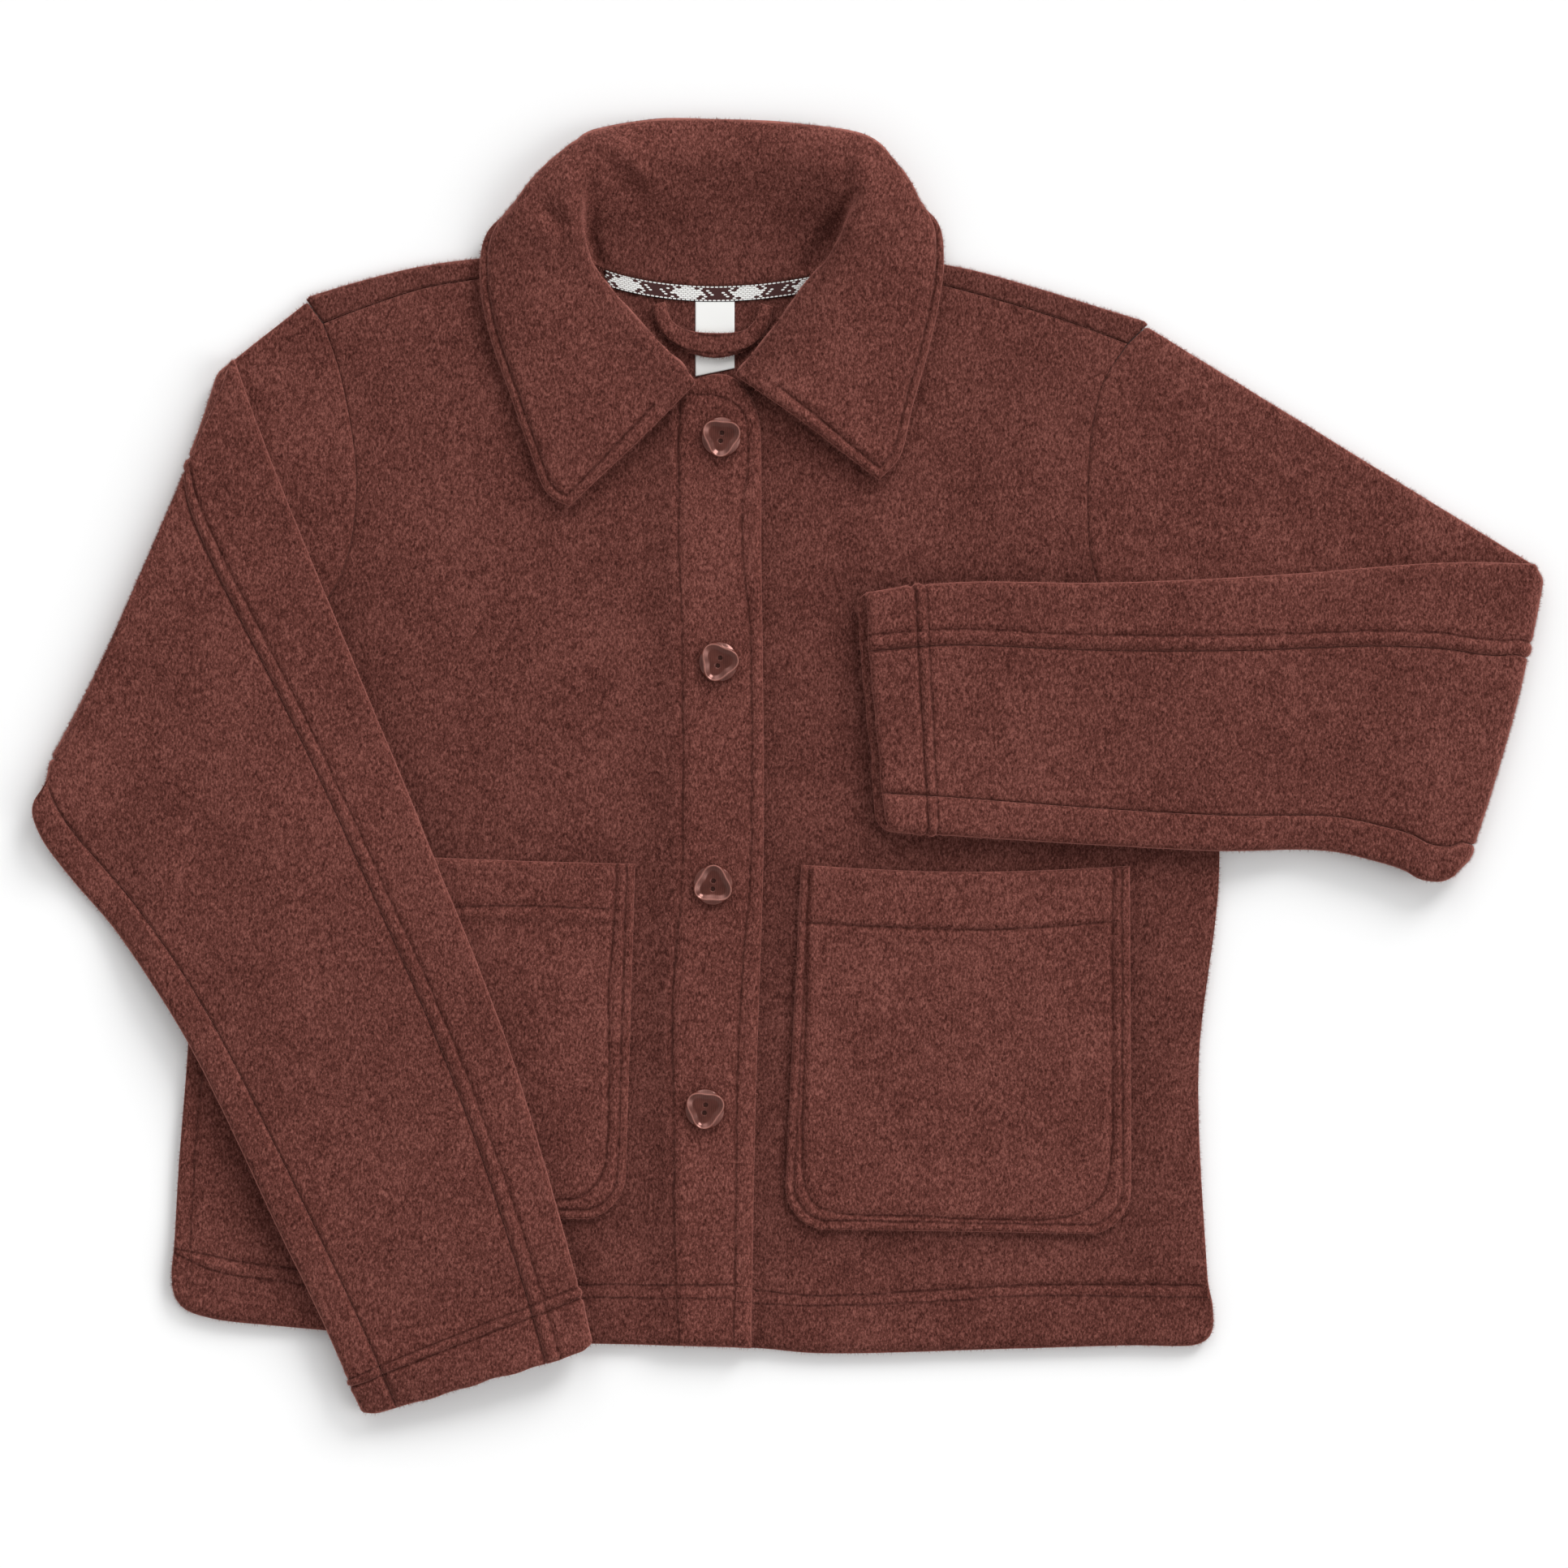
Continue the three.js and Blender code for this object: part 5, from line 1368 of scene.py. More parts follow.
@dataclass
class NeckTrim:
    """What is sewn inside the back neck: a woven tape, a plain label and a hang loop of the cloth."""

    tape_line: Points = ((-114.8, 276), (-106.2, 273.9), (-96.3, 270.4), (-84.1, 267.2), (-67.1, 264.4),
                         (-44, 262.8), (-20.1, 263.7), (1.9, 266.4), (16.7, 269.3), (26.7, 272.4),
                         (34.1, 275.2))
    tape_width: float = 8.6
    tape_wall: float = 0.9
    label_box: tuple[float, float, float, float] = (-51.3, -30.1, 213.3, 254.4)
    label_slant: float = 4.5
    label_wall: float = 0.5
    loop_rows: Points = ((-71, 253), (-68, 242.5), (-60, 234.6), (-41, 230), (-22.5, 234), (-15.5, 242),
                         (-12.5, 252))
    loop_widths: tuple[float, ...] = (7, 8, 10, 13.5, 10, 8, 7)
    loop_rises: tuple[float, ...] = (0, 0.4, 1.3, 1.6, 1.3, 0.4, 0)
    loop_wall: float = 2.2

    def floor(self, wall: float) -> float:
        """Height of the middle of a strip that is sewn flat on the inside of the back."""
        return CLOTH + SEAM_GAP + wall / 2

    def tape(self) -> Surface:
        """The tape: a strip that follows the back neck, its weave measured along it and across it.

        Returns:
            Its surface.
        """
        t = np.linspace(0, 1, 120)
        line = Path(self.tape_line).even(0.1 + 0.8 * t)
        v = graded(self.tape_width, fine=0.25, coarse=0.9)
        x = np.repeat(line[:, :1], len(v), 1)
        y = line[:, 1:] - 0.5 - self.tape_width * v[None, :]
        z = np.full(x.shape, self.floor(self.tape_wall))
        along = np.concatenate([[0], np.cumsum(np.linalg.norm(np.diff(line, axis=0), axis=1))])
        middle = np.interp(-41.0, line[:, 0], along)
        uv = np.stack([(along - middle)[:, None] + 0 * v, self.tape_width * v + 0 * along[:, None]], -1)
        return Surface(np.stack([x, y, z], -1), wall=self.tape_wall, uv=uv, round_over=0.5)

    def label(self) -> Surface:
        """The label: a plain rectangle that bulges a little below its stitched top.

        Returns:
            Its surface.
        """
        left, right, low, high = self.label_box
        u = graded(right - left, fine=0.3, coarse=1.2)[None, :]
        v = graded(high - low, fine=0.3, coarse=1.2)[:, None]
        x = left + (right - left) * u + 0 * v
        y = low + (high - low) * v + self.label_slant * u * (1 - v)
        z = self.floor(self.label_wall) + 0.12 * np.sin(np.pi * u) * np.sin(2.5 * np.pi * v)
        uv = np.stack([x - left, y - low], -1)
        return Surface(np.stack([x, y, z], -1), wall=self.label_wall, uv=uv, round_over=0.35)

    def loop(self) -> Surface:
        """The hang loop: a strip along a curve, widest and highest over the label.

        Returns:
            Its surface.
        """
        middle = Path(self.loop_rows)
        t = graded(middle.length, coarse=1.3)
        size = Path(np.stack([self.loop_widths, self.loop_rises], -1))
        share = np.interp(t * middle.length, middle.reach, np.linspace(0, 1, len(middle.reach)))
        width, rise = size.at(share).T
        way = middle.heading(t)
        aside = np.stack([-way[:, 1], way[:, 0]], -1)
        across = graded(12, (1.8, 10.2), fine=0.3, coarse=0.9) - 0.5
        plan = middle.even(t)[:, None] + aside[:, None] * (across[None, :] * width[:, None])[..., None]
        z = np.repeat((self.floor(self.loop_wall) + rise)[:, None], len(across), 1)
        line = 5.0 - np.abs(across)[None, :] * width[:, None] + 0 * z
        crown = 0.5 * (1 - (2 * across[None, :]) ** 2) * (1 + 0 * z)
        mid = np.concatenate([plan, z[..., None]], -1)
        return Surface(mid, side=-1.0, wall=self.loop_wall, relief=crown, stitches=[line],
                       round_over=1.2)

    def build(self, wool: "WoolFleece", tape: "TapeWeave",
              label: "LabelCloth") -> list[Piece]:
        """Makes and dresses the tape, the label and the loop.

        Args:
            wool: The loop's finish.
            tape: The tape's finish.
            label: The label's finish.

        Returns:
            The pieces.
        """
        return [
            *dress(self.tape().build("neck_tape_weave"), tape,
                   ("neck_tape",)),
            *dress(self.label().build("label_cloth"), label,
                   ("label",)),
            *dress(self.loop().build("hang_loop_cloth"), wool,
                   ("hang_loop",)),
        ]


# The buttons


@dataclass
class Buttons:
    """Four two-hole buttons, each a disc bevelled up to the rim of a shallow three-sided dish."""

    body: Body
    places: Points = ((-37.2, 180.2), (-38.5, 58.7), (-41.6, -61.8), (-46, -182.8))
    corners: tuple[float, ...] = (25, 7, 88, 24)
    hole_lines: tuple[float, ...] = (81, 72, 86, 81)
    diameter: float = 22.0
    thickness: float = 3.8
    dish_sides: float = 0.84
    dish_corners: float = 0.12
    hole: float = 2.3
    spacing: float = 4.4
    lip: float = 0.42
    bevel_drop: float = 1.45
    bowl: tuple[tuple[float, float], ...] = ((1.2, 3.4), (0.4, 9.0))
    well: float = 1.9
    grain_step: float = 31.0

    def dish(self, angle: Array) -> Array:
        """Radius of the dish's rim at an angle from a corner: a triangle with bulging sides."""
        return self.diameter / 2 * (self.dish_sides + self.dish_corners * np.cos(3 * angle))

    def height(self, r: Array, angle: Array, index: int) -> Array:
        """Height of the face: a bevel up to the dish's rim, a thin round lip, the bowl, and two wells.

        Args:
            r: Distances from the middle.
            angle: Angles about it.
            index: Which button.

        Returns:
            Heights above the button's underside, in millimetres.
        """
        outer = self.diameter / 2
        rim = self.dish(angle - math.radians(self.corners[index]))
        down = np.clip((r - rim) / np.maximum(outer - rim, 0.3), 0, 1)
        level = self.thickness - 0.15
        bevel = level - self.bevel_drop * down**1.1 * smooth((outer - rim) / 1.2 + 0.15)
        bowl = level - sum(depth * smooth((rim - r) / reach) for depth, reach in self.bowl)
        face = np.where(r > rim, bevel, bowl) + 0.3 * bell((r - rim) / self.lip)
        face = face - 0.9 * (1 - np.sqrt(1 - np.clip((r - outer + 0.7) / 0.7, 0, 1) ** 2))
        way = math.radians(self.hole_lines[index])
        x, y = r * np.cos(angle - way), r * np.sin(angle - way)
        for end in (-1, 1):
            away = np.hypot(x - end * self.spacing / 2, y)
            face = face - 0.12 * bell((away - self.hole / 2 - 0.3) / 0.3)
            face = face - self.well * smooth((self.hole / 2 - away) / 0.3 + 0.5)
        return face

    def mesh(self, index: int) -> Piece:
        """One button: its face and its underside over the same rings, joined at the rim.

        Args:
            index: Which button, from 0 at the collar.

        Returns:
            The new object.
        """
        x, y = self.places[index]
        outer = self.diameter / 2
        r = np.concatenate([np.linspace(0, 4.2, 28)[1:], np.linspace(4.2, 7, 9)[1:],
                            np.linspace(7, outer, 34)[1:]])
        angle = np.linspace(0, 2 * np.pi, 121)[:-1]
        rr, aa = np.meshgrid(r, angle, indexing="ij")
        top = self.height(rr, aa, index)
        under = np.clip(1.0 - (outer - rr) / 1.6, 0, 1) ** 2 * 0.9
        base = self.body.front_height(Side.RIGHT, np.array([x, y])) + CLOTH / 2 + 0.8 + SEAM_GAP
        plane = np.stack([x + rr * np.cos(aa), y + rr * np.sin(aa)], -1)
        rings, around = rr.shape
        face = np.concatenate([plane, (base + top)[..., None]], -1).reshape(-1, 3)
        back = np.concatenate([plane, (base + under)[..., None]], -1).reshape(-1, 3)
        middle = np.array([[x, y, base + self.height(np.zeros(1), np.zeros(1), index)[0]], [x, y, base]])
        count = rings * around
        points = np.concatenate([face, back, middle])
        k = np.arange(around)
        nxt = (k + 1) % around
        ring = (np.arange(rings - 1) * around)[:, None]
        a, b = ring + k, ring + nxt
        quads = np.stack([a, a + around, b + around, b], -1).reshape(-1, 4)
        last = (rings - 1) * around
        rim = np.stack([last + k, count + last + k, count + last + nxt, last + nxt], -1)
        fours = np.concatenate([quads, quads[:, ::-1] + count, rim])
        threes = np.concatenate([np.stack([k, nxt, np.full(around, 2 * count)], -1),
                                 np.stack([count + nxt, count + k, np.full(around, 2 * count + 1)], -1)])
        mesh = bpy.data.meshes.new(f"button_{index + 1}_horn")
        mesh.from_pydata((points * MM).tolist(), [], fours.tolist() + threes.tolist())
        mesh.polygons.foreach_set("use_smooth", np.ones(len(mesh.polygons), bool))
        mesh.update()
        obj = bpy.data.objects.new(mesh.name, mesh)
        bpy.context.scene.collection.objects.link(obj)
        flat = np.stack([rr * np.cos(aa), rr * np.sin(aa)], -1).reshape(-1, 2)
        write_uv(mesh, "grain", np.concatenate([flat, flat, np.zeros((2, 2))]) + index * self.grain_step)
        # A painted highlight along the lip of the dish, kept as an attribute.
        painted_lip_highlight = bell((rr - self.dish(aa - math.radians(self.corners[index]))) / self.lip).ravel()
        write_values(mesh, "painted_lip_highlight", np.concatenate([painted_lip_highlight, 0 * painted_lip_highlight, [0, 0]]))
        return obj

    def build(self, finish: "HornResin") -> list[Piece]:
        """Makes and dresses the four buttons.

        Args:
            finish: The resin.

        Returns:
            The buttons.
        """
        pieces = []
        for index in range(len(self.places)):
            obj = self.mesh(index)
            finish.apply(obj)
            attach(obj, "root")
            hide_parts(f"button_{index + 1}")
            pieces.append(obj)
        return pieces


# Finishes

Socket = bpy.types.NodeSocket


class Nodes:
    """A short way to place and join nodes in one tree."""

    def __init__(self, tree: bpy.types.NodeTree) -> None:
        """Keeps the tree and empties it."""
        self.tree = tree
        tree.nodes.clear()

    def add(self, kind: str, inputs: dict | None = None, **settings) -> bpy.types.Node:
        """Places one node.

        Args:
            kind: The node's type.
            inputs: Sockets by name or number, each with a value or the socket that feeds it.
            settings: The node's own settings.

        Returns:
            The node.
        """
        node = self.tree.nodes.new(kind)
        for key, value in settings.items():
            setattr(node, key, value)
        for key, value in (inputs or {}).items():
            if isinstance(value, bpy.types.NodeSocket):
                self.tree.links.new(value, node.inputs[key])
            else:
                node.inputs[key].default_value = value
        return node

    def math(self, kind: str, *values: "float | Socket", clamp: bool = False) -> Socket:
        """One Math node's result."""
        node = self.add("ShaderNodeMath", dict(enumerate(values)), operation=kind, use_clamp=clamp)
        return node.outputs[0]

    def noise(self, vector: Socket, scale: "float | Socket", detail: float = 2.0,
              roughness: float = 0.5, distortion: float = 0.0) -> Socket:
        """A Noise Texture's value.

        Args:
            vector: Where it is read.
            scale: How fine it is.
            detail: Its layers.
            roughness: The share of its finer layers.
            distortion: How far it is bent.

        Returns:
            The value.
        """
        inputs = {"Vector": vector, "Scale": scale, "Detail": detail, "Roughness": roughness,
                  "Distortion": distortion}
        return self.add("ShaderNodeTexNoise", inputs).outputs["Fac"]

    def span(self, value: Socket, low: "float | Socket", high: "float | Socket", out_low: float = 0.0,
             out_high: float = 1.0, kind: str = "SMOOTHSTEP") -> Socket:
        """A Map Range of a value, smooth unless its kind says otherwise.

        Args:
            value: The value.
            low: Where the range starts.
            high: Where it ends.
            out_low: The result at its start.
            out_high: The result at its end.
            kind: The way between them.

        Returns:
            The result.
        """
        inputs = {"Value": value, "From Min": low, "From Max": high, "To Min": out_low,
                  "To Max": out_high}
        return self.add("ShaderNodeMapRange", inputs, interpolation_type=kind).outputs["Result"]

    def mix(self, share: "float | Socket", first: "Colour | Socket", second: "Colour | Socket",
            kind: str = "MIX") -> Socket:
        """Two colours mixed by a share, or blended as the kind says."""
        inputs = {0: share, 6: first, 7: second}
        return self.add("ShaderNodeMix", inputs, data_type="RGBA", blend_type=kind).outputs[2]

    def bump(self, height: Socket, strength: float, distance: float) -> Socket:
        """A Bump node's normal."""
        inputs = {"Height": height, "Strength": strength, "Distance": distance}
        return self.add("ShaderNodeBump", inputs).outputs[0]

    def value_of(self, name: str) -> Socket:
        """The value of a mesh attribute."""
        return self.add("ShaderNodeAttribute", attribute_name=name).outputs["Fac"]

    def across(self, name: str) -> tuple[Socket, Socket]:
        """A UV map's two coordinates.

        Args:
            name: The map's name.

        Returns:
            The two coordinates.
        """
        uv = self.add("ShaderNodeUVMap", uv_map=name).outputs[0]
        parts = self.add("ShaderNodeSeparateXYZ", {0: uv})
        return parts.outputs[0], parts.outputs[1]


def node_group(name: str, inputs: dict[str, tuple[str, object]], outputs: dict[str, str]) -> tuple:
    """A new shader node group with named sockets.

    Args:
        name: The group's name.
        inputs: Each input's kind and first value.
        outputs: Each output's kind.

    Returns:
        The group, its builder, its input node and its output node.
    """
    tree = bpy.data.node_groups.new(name, "ShaderNodeTree")
    nodes = Nodes(tree)
    for label, (kind, value) in inputs.items():
        socket = tree.interface.new_socket(name=label, in_out="INPUT", socket_type=f"NodeSocket{kind}")
        if value is not None:
            socket.default_value = value
    for label, kind in outputs.items():
        tree.interface.new_socket(name=label, in_out="OUTPUT", socket_type=f"NodeSocket{kind}")
    return tree, nodes, nodes.add("NodeGroupInput"), nodes.add("NodeGroupOutput")


def nap_group() -> bpy.types.NodeTree:
    """The brushed wool's nap: short fibres that cross at slants, in flecks of lighter and darker wool.

    Returns:
        A group that gives the wool's tone and the nap's height.
    """
    tree, nodes, start, end = node_group(
        "wool_nap",
        {"Vector": ("Vector", None), "Fleck Scale": ("Float", 700.0), "Contrast": ("Float", 1.0)},
        {"Tone": "Float", "Height": "Float"})
    vector, scale = start.outputs["Vector"], start.outputs["Fleck Scale"]

    def strokes(turn: float, stretch: float, times: float) -> Socket:
        """Noise turned in plan and drawn out.

        Args:
            turn: The turn, in degrees.
            stretch: How far it is drawn out.
            times: How much finer it is than the flecks.

        Returns:
            The value.
        """
        turned = nodes.add("ShaderNodeMapping", {"Vector": vector, "Rotation": (0, 0, math.radians(turn)),
                                                 "Scale": (1.0, stretch, 1.0)}).outputs[0]
        return nodes.noise(turned, nodes.math("MULTIPLY", scale, times), 3.0, 0.68, 0.5)

    slanted = nodes.math("ADD", nodes.math("MULTIPLY", strokes(-42, 0.55, 1.0), 0.45),
                         nodes.math("MULTIPLY", strokes(58, 0.6, 1.25), 0.35))
    clumps = nodes.noise(vector, 240.0, 2.0, 0.6)
    patches = nodes.noise(vector, 24.0, 2.0, 0.5)
    tone = nodes.math("ADD", slanted, nodes.math("ADD", nodes.math("MULTIPLY", clumps, 0.12),
                                                 nodes.math("MULTIPLY", patches, 0.08)))
    spread = nodes.math("MULTIPLY", nodes.math("SUBTRACT", tone, 0.5), start.outputs["Contrast"])
    tree.links.new(nodes.math("ADD", spread, 0.5, clamp=True), end.inputs["Tone"])
    height = nodes.math("ADD", slanted, nodes.math("MULTIPLY", clumps, 0.5))
    tree.links.new(height, end.inputs["Height"])
    return tree


def stitching_group() -> bpy.types.NodeTree:
    """The sunk stitching: thin dark lines where a signed distance is near zero.

    Returns:
        A group that gives the line and the shade of the groove that the line pulls into the cloth.
    """
    tree, nodes, start, end = node_group(
        "sunk_stitching",
        {"Half Width": ("Float", 0.5), "Groove": ("Float", 1.9), "Wander": ("Float", 0.5)},
        {"Line": "Float", "Groove": "Float"})
    nearest: Socket | None = None
    for label in ("stitches", "stitches_more"):
        attribute = nodes.add("ShaderNodeAttribute", attribute_name=label)
        parts = nodes.add("ShaderNodeSeparateXYZ", {0: attribute.outputs["Vector"]})
        for part in parts.outputs:
            size = nodes.math("ABSOLUTE", nodes.math("ADD", part, start.outputs["Wander"]))
            nearest = size if nearest is None else nodes.math("MINIMUM", nearest, size)
    far, near = (nodes.math("MULTIPLY", start.outputs["Half Width"], times) for times in (2.0, 0.3))
    tree.links.new(nodes.span(nearest, far, near, kind="LINEAR"), end.inputs["Line"])
    tree.links.new(nodes.span(nearest, start.outputs["Groove"], 0.0), end.inputs["Groove"])
    return tree


@dataclass(frozen=True)
class Finish:
    """A procedural material by its name. Each finish places its own shader."""

    name: str

    def surface(self, nodes: Nodes) -> bpy.types.Node:
        """Places the finish's nodes and returns its shader."""
        raise NotImplementedError

    def apply(self, obj: Piece) -> None:
        """Puts the finish on a piece, and makes its material where there is none yet.

        Args:
            obj: The piece.
        """
        material = bpy.data.materials.get(self.name)
        if material is None:
            material = bpy.data.materials.new(self.name)
            material.use_nodes = True
            nodes = Nodes(material.node_tree)
            nodes.add("ShaderNodeOutputMaterial", {0: self.surface(nodes).outputs[0]})
        obj.data.materials.append(material)


@dataclass(frozen=True)
class WoolFleece(Finish):
    """Matt brushed wool in a warm red brown, flecked lighter and darker, with sunk stitching."""

    name: str = "wool_fleece"
    dark: Colour = (0.037, 0.0094, 0.0068, 1)
    middle: Colour = (0.102, 0.0306, 0.0237, 1)
    light: Colour = (0.235, 0.0840, 0.0675, 1)
    thread: Colour = (0.030, 0.0080, 0.0058, 1)
    # edge: the colour of a painted rim light where the cloth turns away from view.
    edge: Colour = (0.330, 0.1180, 0.0950, 1)
    sheen: Colour = (0.80, 0.40, 0.34, 1)
    fleck_scale: float = 850.0
    contrast: float = 4.2

    def surface(self, nodes: Nodes) -> bpy.types.Node:
        """The wool: flecked by its nap, darkened by its thread and by painted shade in its stitching's
        grooves, scaled by painted light and shade, and paler where it turns away as a painted rim light.

        Args:
            nodes: Where its nodes are placed.

        Returns:
            The shader.
        """
        place = nodes.add("ShaderNodeTexCoord").outputs["Object"]
        nap = nodes.add("ShaderNodeGroup", {"Vector": place, "Fleck Scale": self.fleck_scale,
                                            "Contrast": self.contrast}, node_tree=nap_group())
        wander = nodes.span(nodes.noise(place, 70.0, 2.0), 0.3, 0.7, -0.3, 0.3)
        stitching = nodes.add("ShaderNodeGroup", {"Wander": wander}, node_tree=stitching_group())
        ramp = nodes.add("ShaderNodeValToRGB", {0: nap.outputs["Tone"]})
        first, last = ramp.color_ramp.elements
        first.position, first.color = 0.05, self.dark
        last.position, last.color = 0.95, self.light
        ramp.color_ramp.elements.new(0.47).color = self.middle
        pulled = nodes.span(nodes.noise(place, 260.0, 1.0), 0.35, 0.62, 0.12, 0.5)
        # The dark thread along each line, and painted shade in the groove around it.
        thread_and_groove_shade = nodes.math("ADD", nodes.math("MULTIPLY", stitching.outputs["Line"], pulled),
                           nodes.math("MULTIPLY", stitching.outputs["Groove"], 0.2), clamp=True)
        colour = nodes.mix(thread_and_groove_shade, ramp.outputs[0], self.thread)
        # Painted light and shade from the tone attribute scale the wool's colour.
        brightness = nodes.math("ADD", nodes.value_of("tone"), 1.0)
        with_painted_light_and_shade = nodes.add("ShaderNodeVectorMath", {0: colour, "Scale": brightness}, operation="SCALE")
        # Painted rim light: the colour turns paler where the surface turns away from view.
        facing = nodes.add("ShaderNodeLayerWeight", {"Blend": 0.5}).outputs["Facing"]
        with_painted_rim_light = nodes.mix(nodes.span(facing, 0.35, 1.0, 0.0, 0.9), with_painted_light_and_shade.outputs[0], self.edge)
        height = nodes.math("SUBTRACT", nap.outputs["Height"],
                            nodes.math("MULTIPLY", stitching.outputs["Line"], 0.6))
        return nodes.add("ShaderNodeBsdfPrincipled", {
            "Base Color": with_painted_rim_light, "Roughness": 0.96, "Normal": nodes.bump(height, 0.8, 0.0007),
            "Specular IOR Level": 0.08, "Sheen Weight": 0.25, "Sheen Roughness": 0.4,
            "Sheen Tint": self.sheen})


@dataclass(frozen=True)
class NapFibre(Finish):
    """The loose fibres at the cloth's edges: the same wool, paler because light comes through them."""

    name: str = "wool_nap_fibre"
    low: Colour = (0.150, 0.0480, 0.0380, 1)
    high: Colour = (0.340, 0.1300, 0.1050, 1)

    def surface(self, nodes: Nodes) -> bpy.types.Node:
        """A matt wool whose lighter and darker fibres come from noise.

        Args:
            nodes: Where its nodes are placed.

        Returns:
            The shader.
        """
        place = nodes.add("ShaderNodeTexCoord").outputs["Object"]
        share = nodes.span(nodes.noise(place, 420.0, 1.0), 0.3, 0.7)
        colour = nodes.mix(share, self.low, self.high)
        return nodes.add("ShaderNodeBsdfPrincipled", {
            "Base Color": colour, "Roughness": 1.0, "Specular IOR Level": 0.05})


@dataclass(frozen=True)
class EdgeNap:
    """Short fibres that stand off the cloth wherever it turns away from above.

    Each is one thin triangle. Their number follows the area that faces sideways, up to most.
    """

    density: float = 2.2
    most: int = 14000
    lengths: tuple[float, float] = (0.9, 2.3)
    width: float = 0.2
    facing: tuple[float, float] = (0.3, 0.8)
    spread: float = 0.55
    floor: float = 0.15

    def grow(self, cloth: Piece) -> Piece:
        """Makes the fibres of one piece.

        Args:
            cloth: The piece, all of quads.

        Returns:
            The fibres as one object, with their finish.
        """
        mesh = cloth.data
        count = len(mesh.polygons)
        normal, area = np.empty(count * 3), np.empty(count)
        corner, place = np.empty(len(mesh.loops), np.int32), np.empty(len(mesh.vertices) * 3)
        mesh.polygons.foreach_get("normal", normal)
        mesh.polygons.foreach_get("area", area)
        mesh.loops.foreach_get("vertex_index", corner)
        mesh.vertices.foreach_get("co", place)
        normal = normal.reshape(-1, 3)
        corner, place = corner.reshape(-1, 4), place.reshape(-1, 3) / MM
        low, high = self.facing
        share = area * smooth((high - np.abs(normal[:, 2])) / (high - low)) * (normal[:, 2] > -0.5)
        number = min(int(self.density * share.sum() / MM**2), self.most)
        dice = np.random.default_rng(count)
        chosen = dice.choice(count, number, p=share / share.sum())
        a, b, c, d = (place[corner[chosen, k]] for k in range(4))
        s, t = dice.random((2, number, 1))
        way = unit(normal[chosen] + self.spread * dice.normal(size=(number, 3)).clip(-2, 2))
        root = (a * (1 - s) + b * s) * (1 - t) + (d * (1 - s) + c * s) * t - 0.15 * normal[chosen]
        tip = root + way * dice.uniform(*self.lengths, size=(number, 1))
        aside = unit(np.cross(way, dice.normal(size=(number, 3)))) * self.width / 2
        points = np.stack([root - aside, root + aside, tip], 1).reshape(-1, 3)
        points[:, 2] = np.maximum(points[:, 2], self.floor)
        name = cloth.name.replace("_cloth", "_nap")
        obj = mesh_object(name, points * MM, np.arange(3 * number).reshape(-1, 3))
        NapFibre().apply(obj)
        return obj


@dataclass(frozen=True)
class TapeWeave(Finish):
    """A narrow woven tape: pale stepped diamonds on a dark ground, between dotted edge lines."""

    name: str = "neck_tape_weave"
    ground: Colour = (0.052, 0.019, 0.018, 1)
    pale: Colour = (0.78, 0.78, 0.76, 1)
    edge: Colour = (0.008, 0.007, 0.008, 1)
    repeat: float = 33.0
    pick: float = 2.4
    row: float = 1.05
    middle: float = 4.2

    def surface(self, nodes: Nodes) -> bpy.types.Node:
        """The weave on the tape's own UV, in millimetres: lens-shaped picks, staggered row by row.

        Args:
            nodes: Where its nodes are placed.

        Returns:
            The shader.
        """
        u, v = nodes.across("weave")
        row = nodes.math("FLOOR", nodes.math("DIVIDE", v, self.row))
        shift = nodes.math("MULTIPLY", nodes.math("MODULO", row, 2.0), self.pick / 2)
        slid = nodes.math("ADD", nodes.math("ADD", u, self.repeat * 20), shift)
        cell = nodes.math("ADD", nodes.math("FLOOR", nodes.math("DIVIDE", slid, self.pick)), 0.5)
        in_u = nodes.math("SUBTRACT", slid, nodes.math("MULTIPLY", cell, self.pick))
        row_middle = nodes.math("MULTIPLY", nodes.math("ADD", row, 0.5), self.row)
        in_v = nodes.math("SUBTRACT", v, row_middle)
        round_u, round_v = (
            nodes.math("POWER", nodes.math("ABSOLUTE", nodes.math("DIVIDE", part, size * 0.5)), 2.0)
            for part, size in ((in_u, self.pick), (in_v, self.row)))
        out = nodes.math("ADD", round_u, round_v)
        full = nodes.math("LESS_THAN", out, 1.05)
        thin = nodes.math("LESS_THAN", out, 0.62)
        along = nodes.math("SUBTRACT", nodes.math("MULTIPLY", cell, self.pick), shift)
        folded = nodes.math("PINGPONG", nodes.math("ADD", along, self.repeat * 0.45), self.repeat / 2)
        off = nodes.math("ABSOLUTE", nodes.math("SUBTRACT", row_middle, self.middle))
        reach = nodes.math("ADD", folded, nodes.math("MULTIPLY", off, 2.4))
        star = nodes.math("MULTIPLY", nodes.math("LESS_THAN", reach, 10.4), full)
        dots = nodes.math("COMPARE", reach, 14.2, 1.2)
        border = nodes.math("GREATER_THAN", off, 3.2)
        dashes = nodes.math("MULTIPLY", nodes.math("MAXIMUM", dots, border), thin)
        colour = nodes.mix(nodes.math("MAXIMUM", star, dashes), self.ground, self.pale)
        edged = nodes.mix(nodes.math("GREATER_THAN", v, 8.2), colour, self.edge)
        return nodes.add("ShaderNodeBsdfPrincipled", {
            "Base Color": edged, "Roughness": 0.8, "Normal": nodes.bump(out, -0.5, 0.0003),
            "Specular IOR Level": 0.2})


